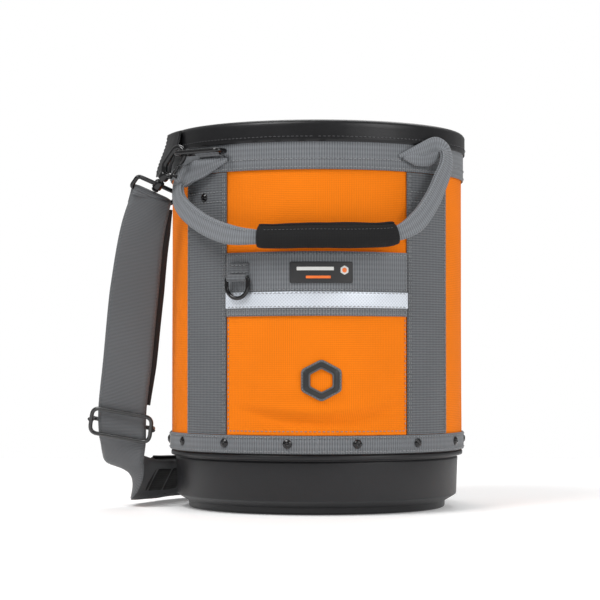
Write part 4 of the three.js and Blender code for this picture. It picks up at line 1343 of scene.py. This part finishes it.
def make_strap():
    at, path, facing, widths = strap_run(360)
    strap = ribbon("shoulder_strap_webbing", path, facing, widths, 2.4, MAT_STRAP, crown=0.5, ripple=0.35,
                   seed=81)
    fit(strap, "shoulder_strap", "strap_webbing", "shoulder_strap")
    across, normal = ribbon_frames(path, facing)
    doubled = (at >= 0.25) & (at <= 3.8)
    aside = np.interp(at[doubled], [0, 1, 3, 3.8], [3, 7, 5, 3])[:, None]
    back = path[doubled] - normal[doubled] * 3.2 + across[doubled] * aside
    # The back layer is painted near black: painted shade behind the strap's front layer.
    layer = ribbon("strap_back_layer", back, facing[doubled], widths[doubled], 2.0, MAT_STRAP_SHADED, seed=82)
    fit(layer, "shoulder_strap", "strap_webbing")
    for side in ("left", "right"):
        fit(bar_hem(f"strap_hem_{side}", side), "shoulder_strap", "strap_webbing")
    rows = []
    for share in (-0.92, 0.92):
        rows.append(edge_row("row", path, facing, widths, share, 1.2, (0.02, 0.98), length=2.6, gap=1.6,
                             thick=0.24, lift=0.1, material=MAT_STRAP_THREAD))
    for from_end in (0.5, 0.75):
        k = int(np.argmin(np.abs(at[-1] - at - from_end)))
        spread_at = np.linspace(-0.9, 0.9, 24)
        line = path[k] + across[k] * (spread_at * widths[k] / 2)[:, None] + normal[k] * 1.6
        rows.append(stitch_row("row", line, np.tile(normal[k], (24, 1)), length=2.6, gap=1.3, thick=0.4))
    fit(join("strap_stitching", rows), "shoulder_strap", "strap_webbing")


def make_pad():
    """A soft pad that the strap runs through where it lies on the floor: two seams, creases and piping."""
    at, path, facing, _ = strap_run(900)
    chosen = np.flatnonzero((at >= PAD_FROM) & (at <= PAD_TO))
    chosen = chosen[np.linspace(0, len(chosen) - 1, 150).astype(int)]
    across, normal = ribbon_frames(path[chosen], facing[chosen])
    run = lengths(path[chosen])
    columns = np.linspace(-1, 1, 25)
    edge = (1 - np.abs(columns) ** 6) ** 0.5
    rings = []
    for number, centre in enumerate(path[chosen] + normal * 4.4):
        end = min(run[number], run[-1] - run[number])
        plump = 0.3 + 0.7 * float(smooth(end, 0, 14))
        rounded = 0.86 + 0.14 * math.sqrt(max(0.0, 1 - (1 - min(end / 10, 1)) ** 2))
        seam = 1 - 0.35 * np.exp(-((np.abs(columns) - 0.62) / 0.05) ** 2)
        tuft = 1 - 0.2 * math.exp(-((run[number] / 34) % 1 - 0.5) ** 2 / 0.004)
        crease = 0.6 * wobble(91, run[number] / 9 + columns * 4, columns * 3)
        fine = 0.3 * wobble(92, run[number] / 4 - columns * 6)
        top = (5.6 * seam * tuft + crease + fine) * edge * plump
        under = -(5.8 * seam * tuft + 0.5 * crease) * edge * plump
        x = columns * 25.0 * rounded
        upper = centre + across[number] * x[:, None] + normal[number] * top[:, None]
        lower = centre + across[number] * x[::-1, None] + normal[number] * under[::-1, None]
        rings.append(np.vstack([upper, lower]))
    rings = np.array(rings)
    u = np.concatenate([columns, columns[::-1]]) * 0.025
    uv = np.stack(np.broadcast_arrays(u[None, :], run[:, None] * MM), -1)
    pad = rings_mesh("shoulder_pad_cushion", rings, MAT_PAD, uv)
    fit(pad, "shoulder_strap", "pad_fabric", "shoulder_pad")
    piping = [tube("piping", rings[2:-2:2, column], 1.5, MAT_PAD, 8) for column in (0, 24)]
    fit(join("shoulder_pad_piping", piping), "shoulder_strap", "pad_fabric")


def make_slider():
    up = unit(np.cross(SLIDER_FACE, SLIDER_ALONG))
    up = up if up[2] > 0 else -up

    def seat(points):
        p = np.atleast_2d(np.asarray(points, float))
        return SLIDER_AT + p[:, :1] * SLIDER_ALONG + p[:, 1:2] * SLIDER_FACE + p[:, 2:3] * up

    frame = round_outline([(31.5, -13), (31.5, 13), (-31.5, 13), (-31.5, -13)], 8.0, 10)
    frame = densify(np.vstack([frame, frame[:1]]), 3.0)[:-1]
    parts = [tube("frame", seat([(x, 5.9, z) for x, z in frame]), 2.1, MAT_SLIDER, 16, closed=True)]
    bar = [(x, -5.4, 0) for x in np.linspace(-31, 31, 12)]
    parts.append(tube("bar", seat(bar), 2.2, MAT_SLIDER, 14))
    for x in (-31.5, 31.5):
        post = [(x, depth, 0) for depth in np.linspace(-6.4, 6.6, 8)]
        parts.append(tube("post", seat(post), 2.3, MAT_SLIDER, 14))
        knob = [(x + math.copysign(d, x), 3.6, 0) for d in np.linspace(0.5, 4.2, 6)]
        parts.append(tube("knob", seat(knob), [1.8, 2.2, 2.4, 2.2, 1.6, 0.8], MAT_SLIDER, 14))
    fit(join("strap_slider_frame", parts), "strap_slider", "slider_plastic", "strap_slider")


make_front_handle()
grip_shell("grip_wrap_fabric", False, "grip_fabric", "front_handle", "grip_wrap")
grip_shell("grip_flap_fabric", True, "grip_fabric", "grip_flap", "grip_flap")
make_rear_handle()
make_strap()
make_pad()
make_slider()
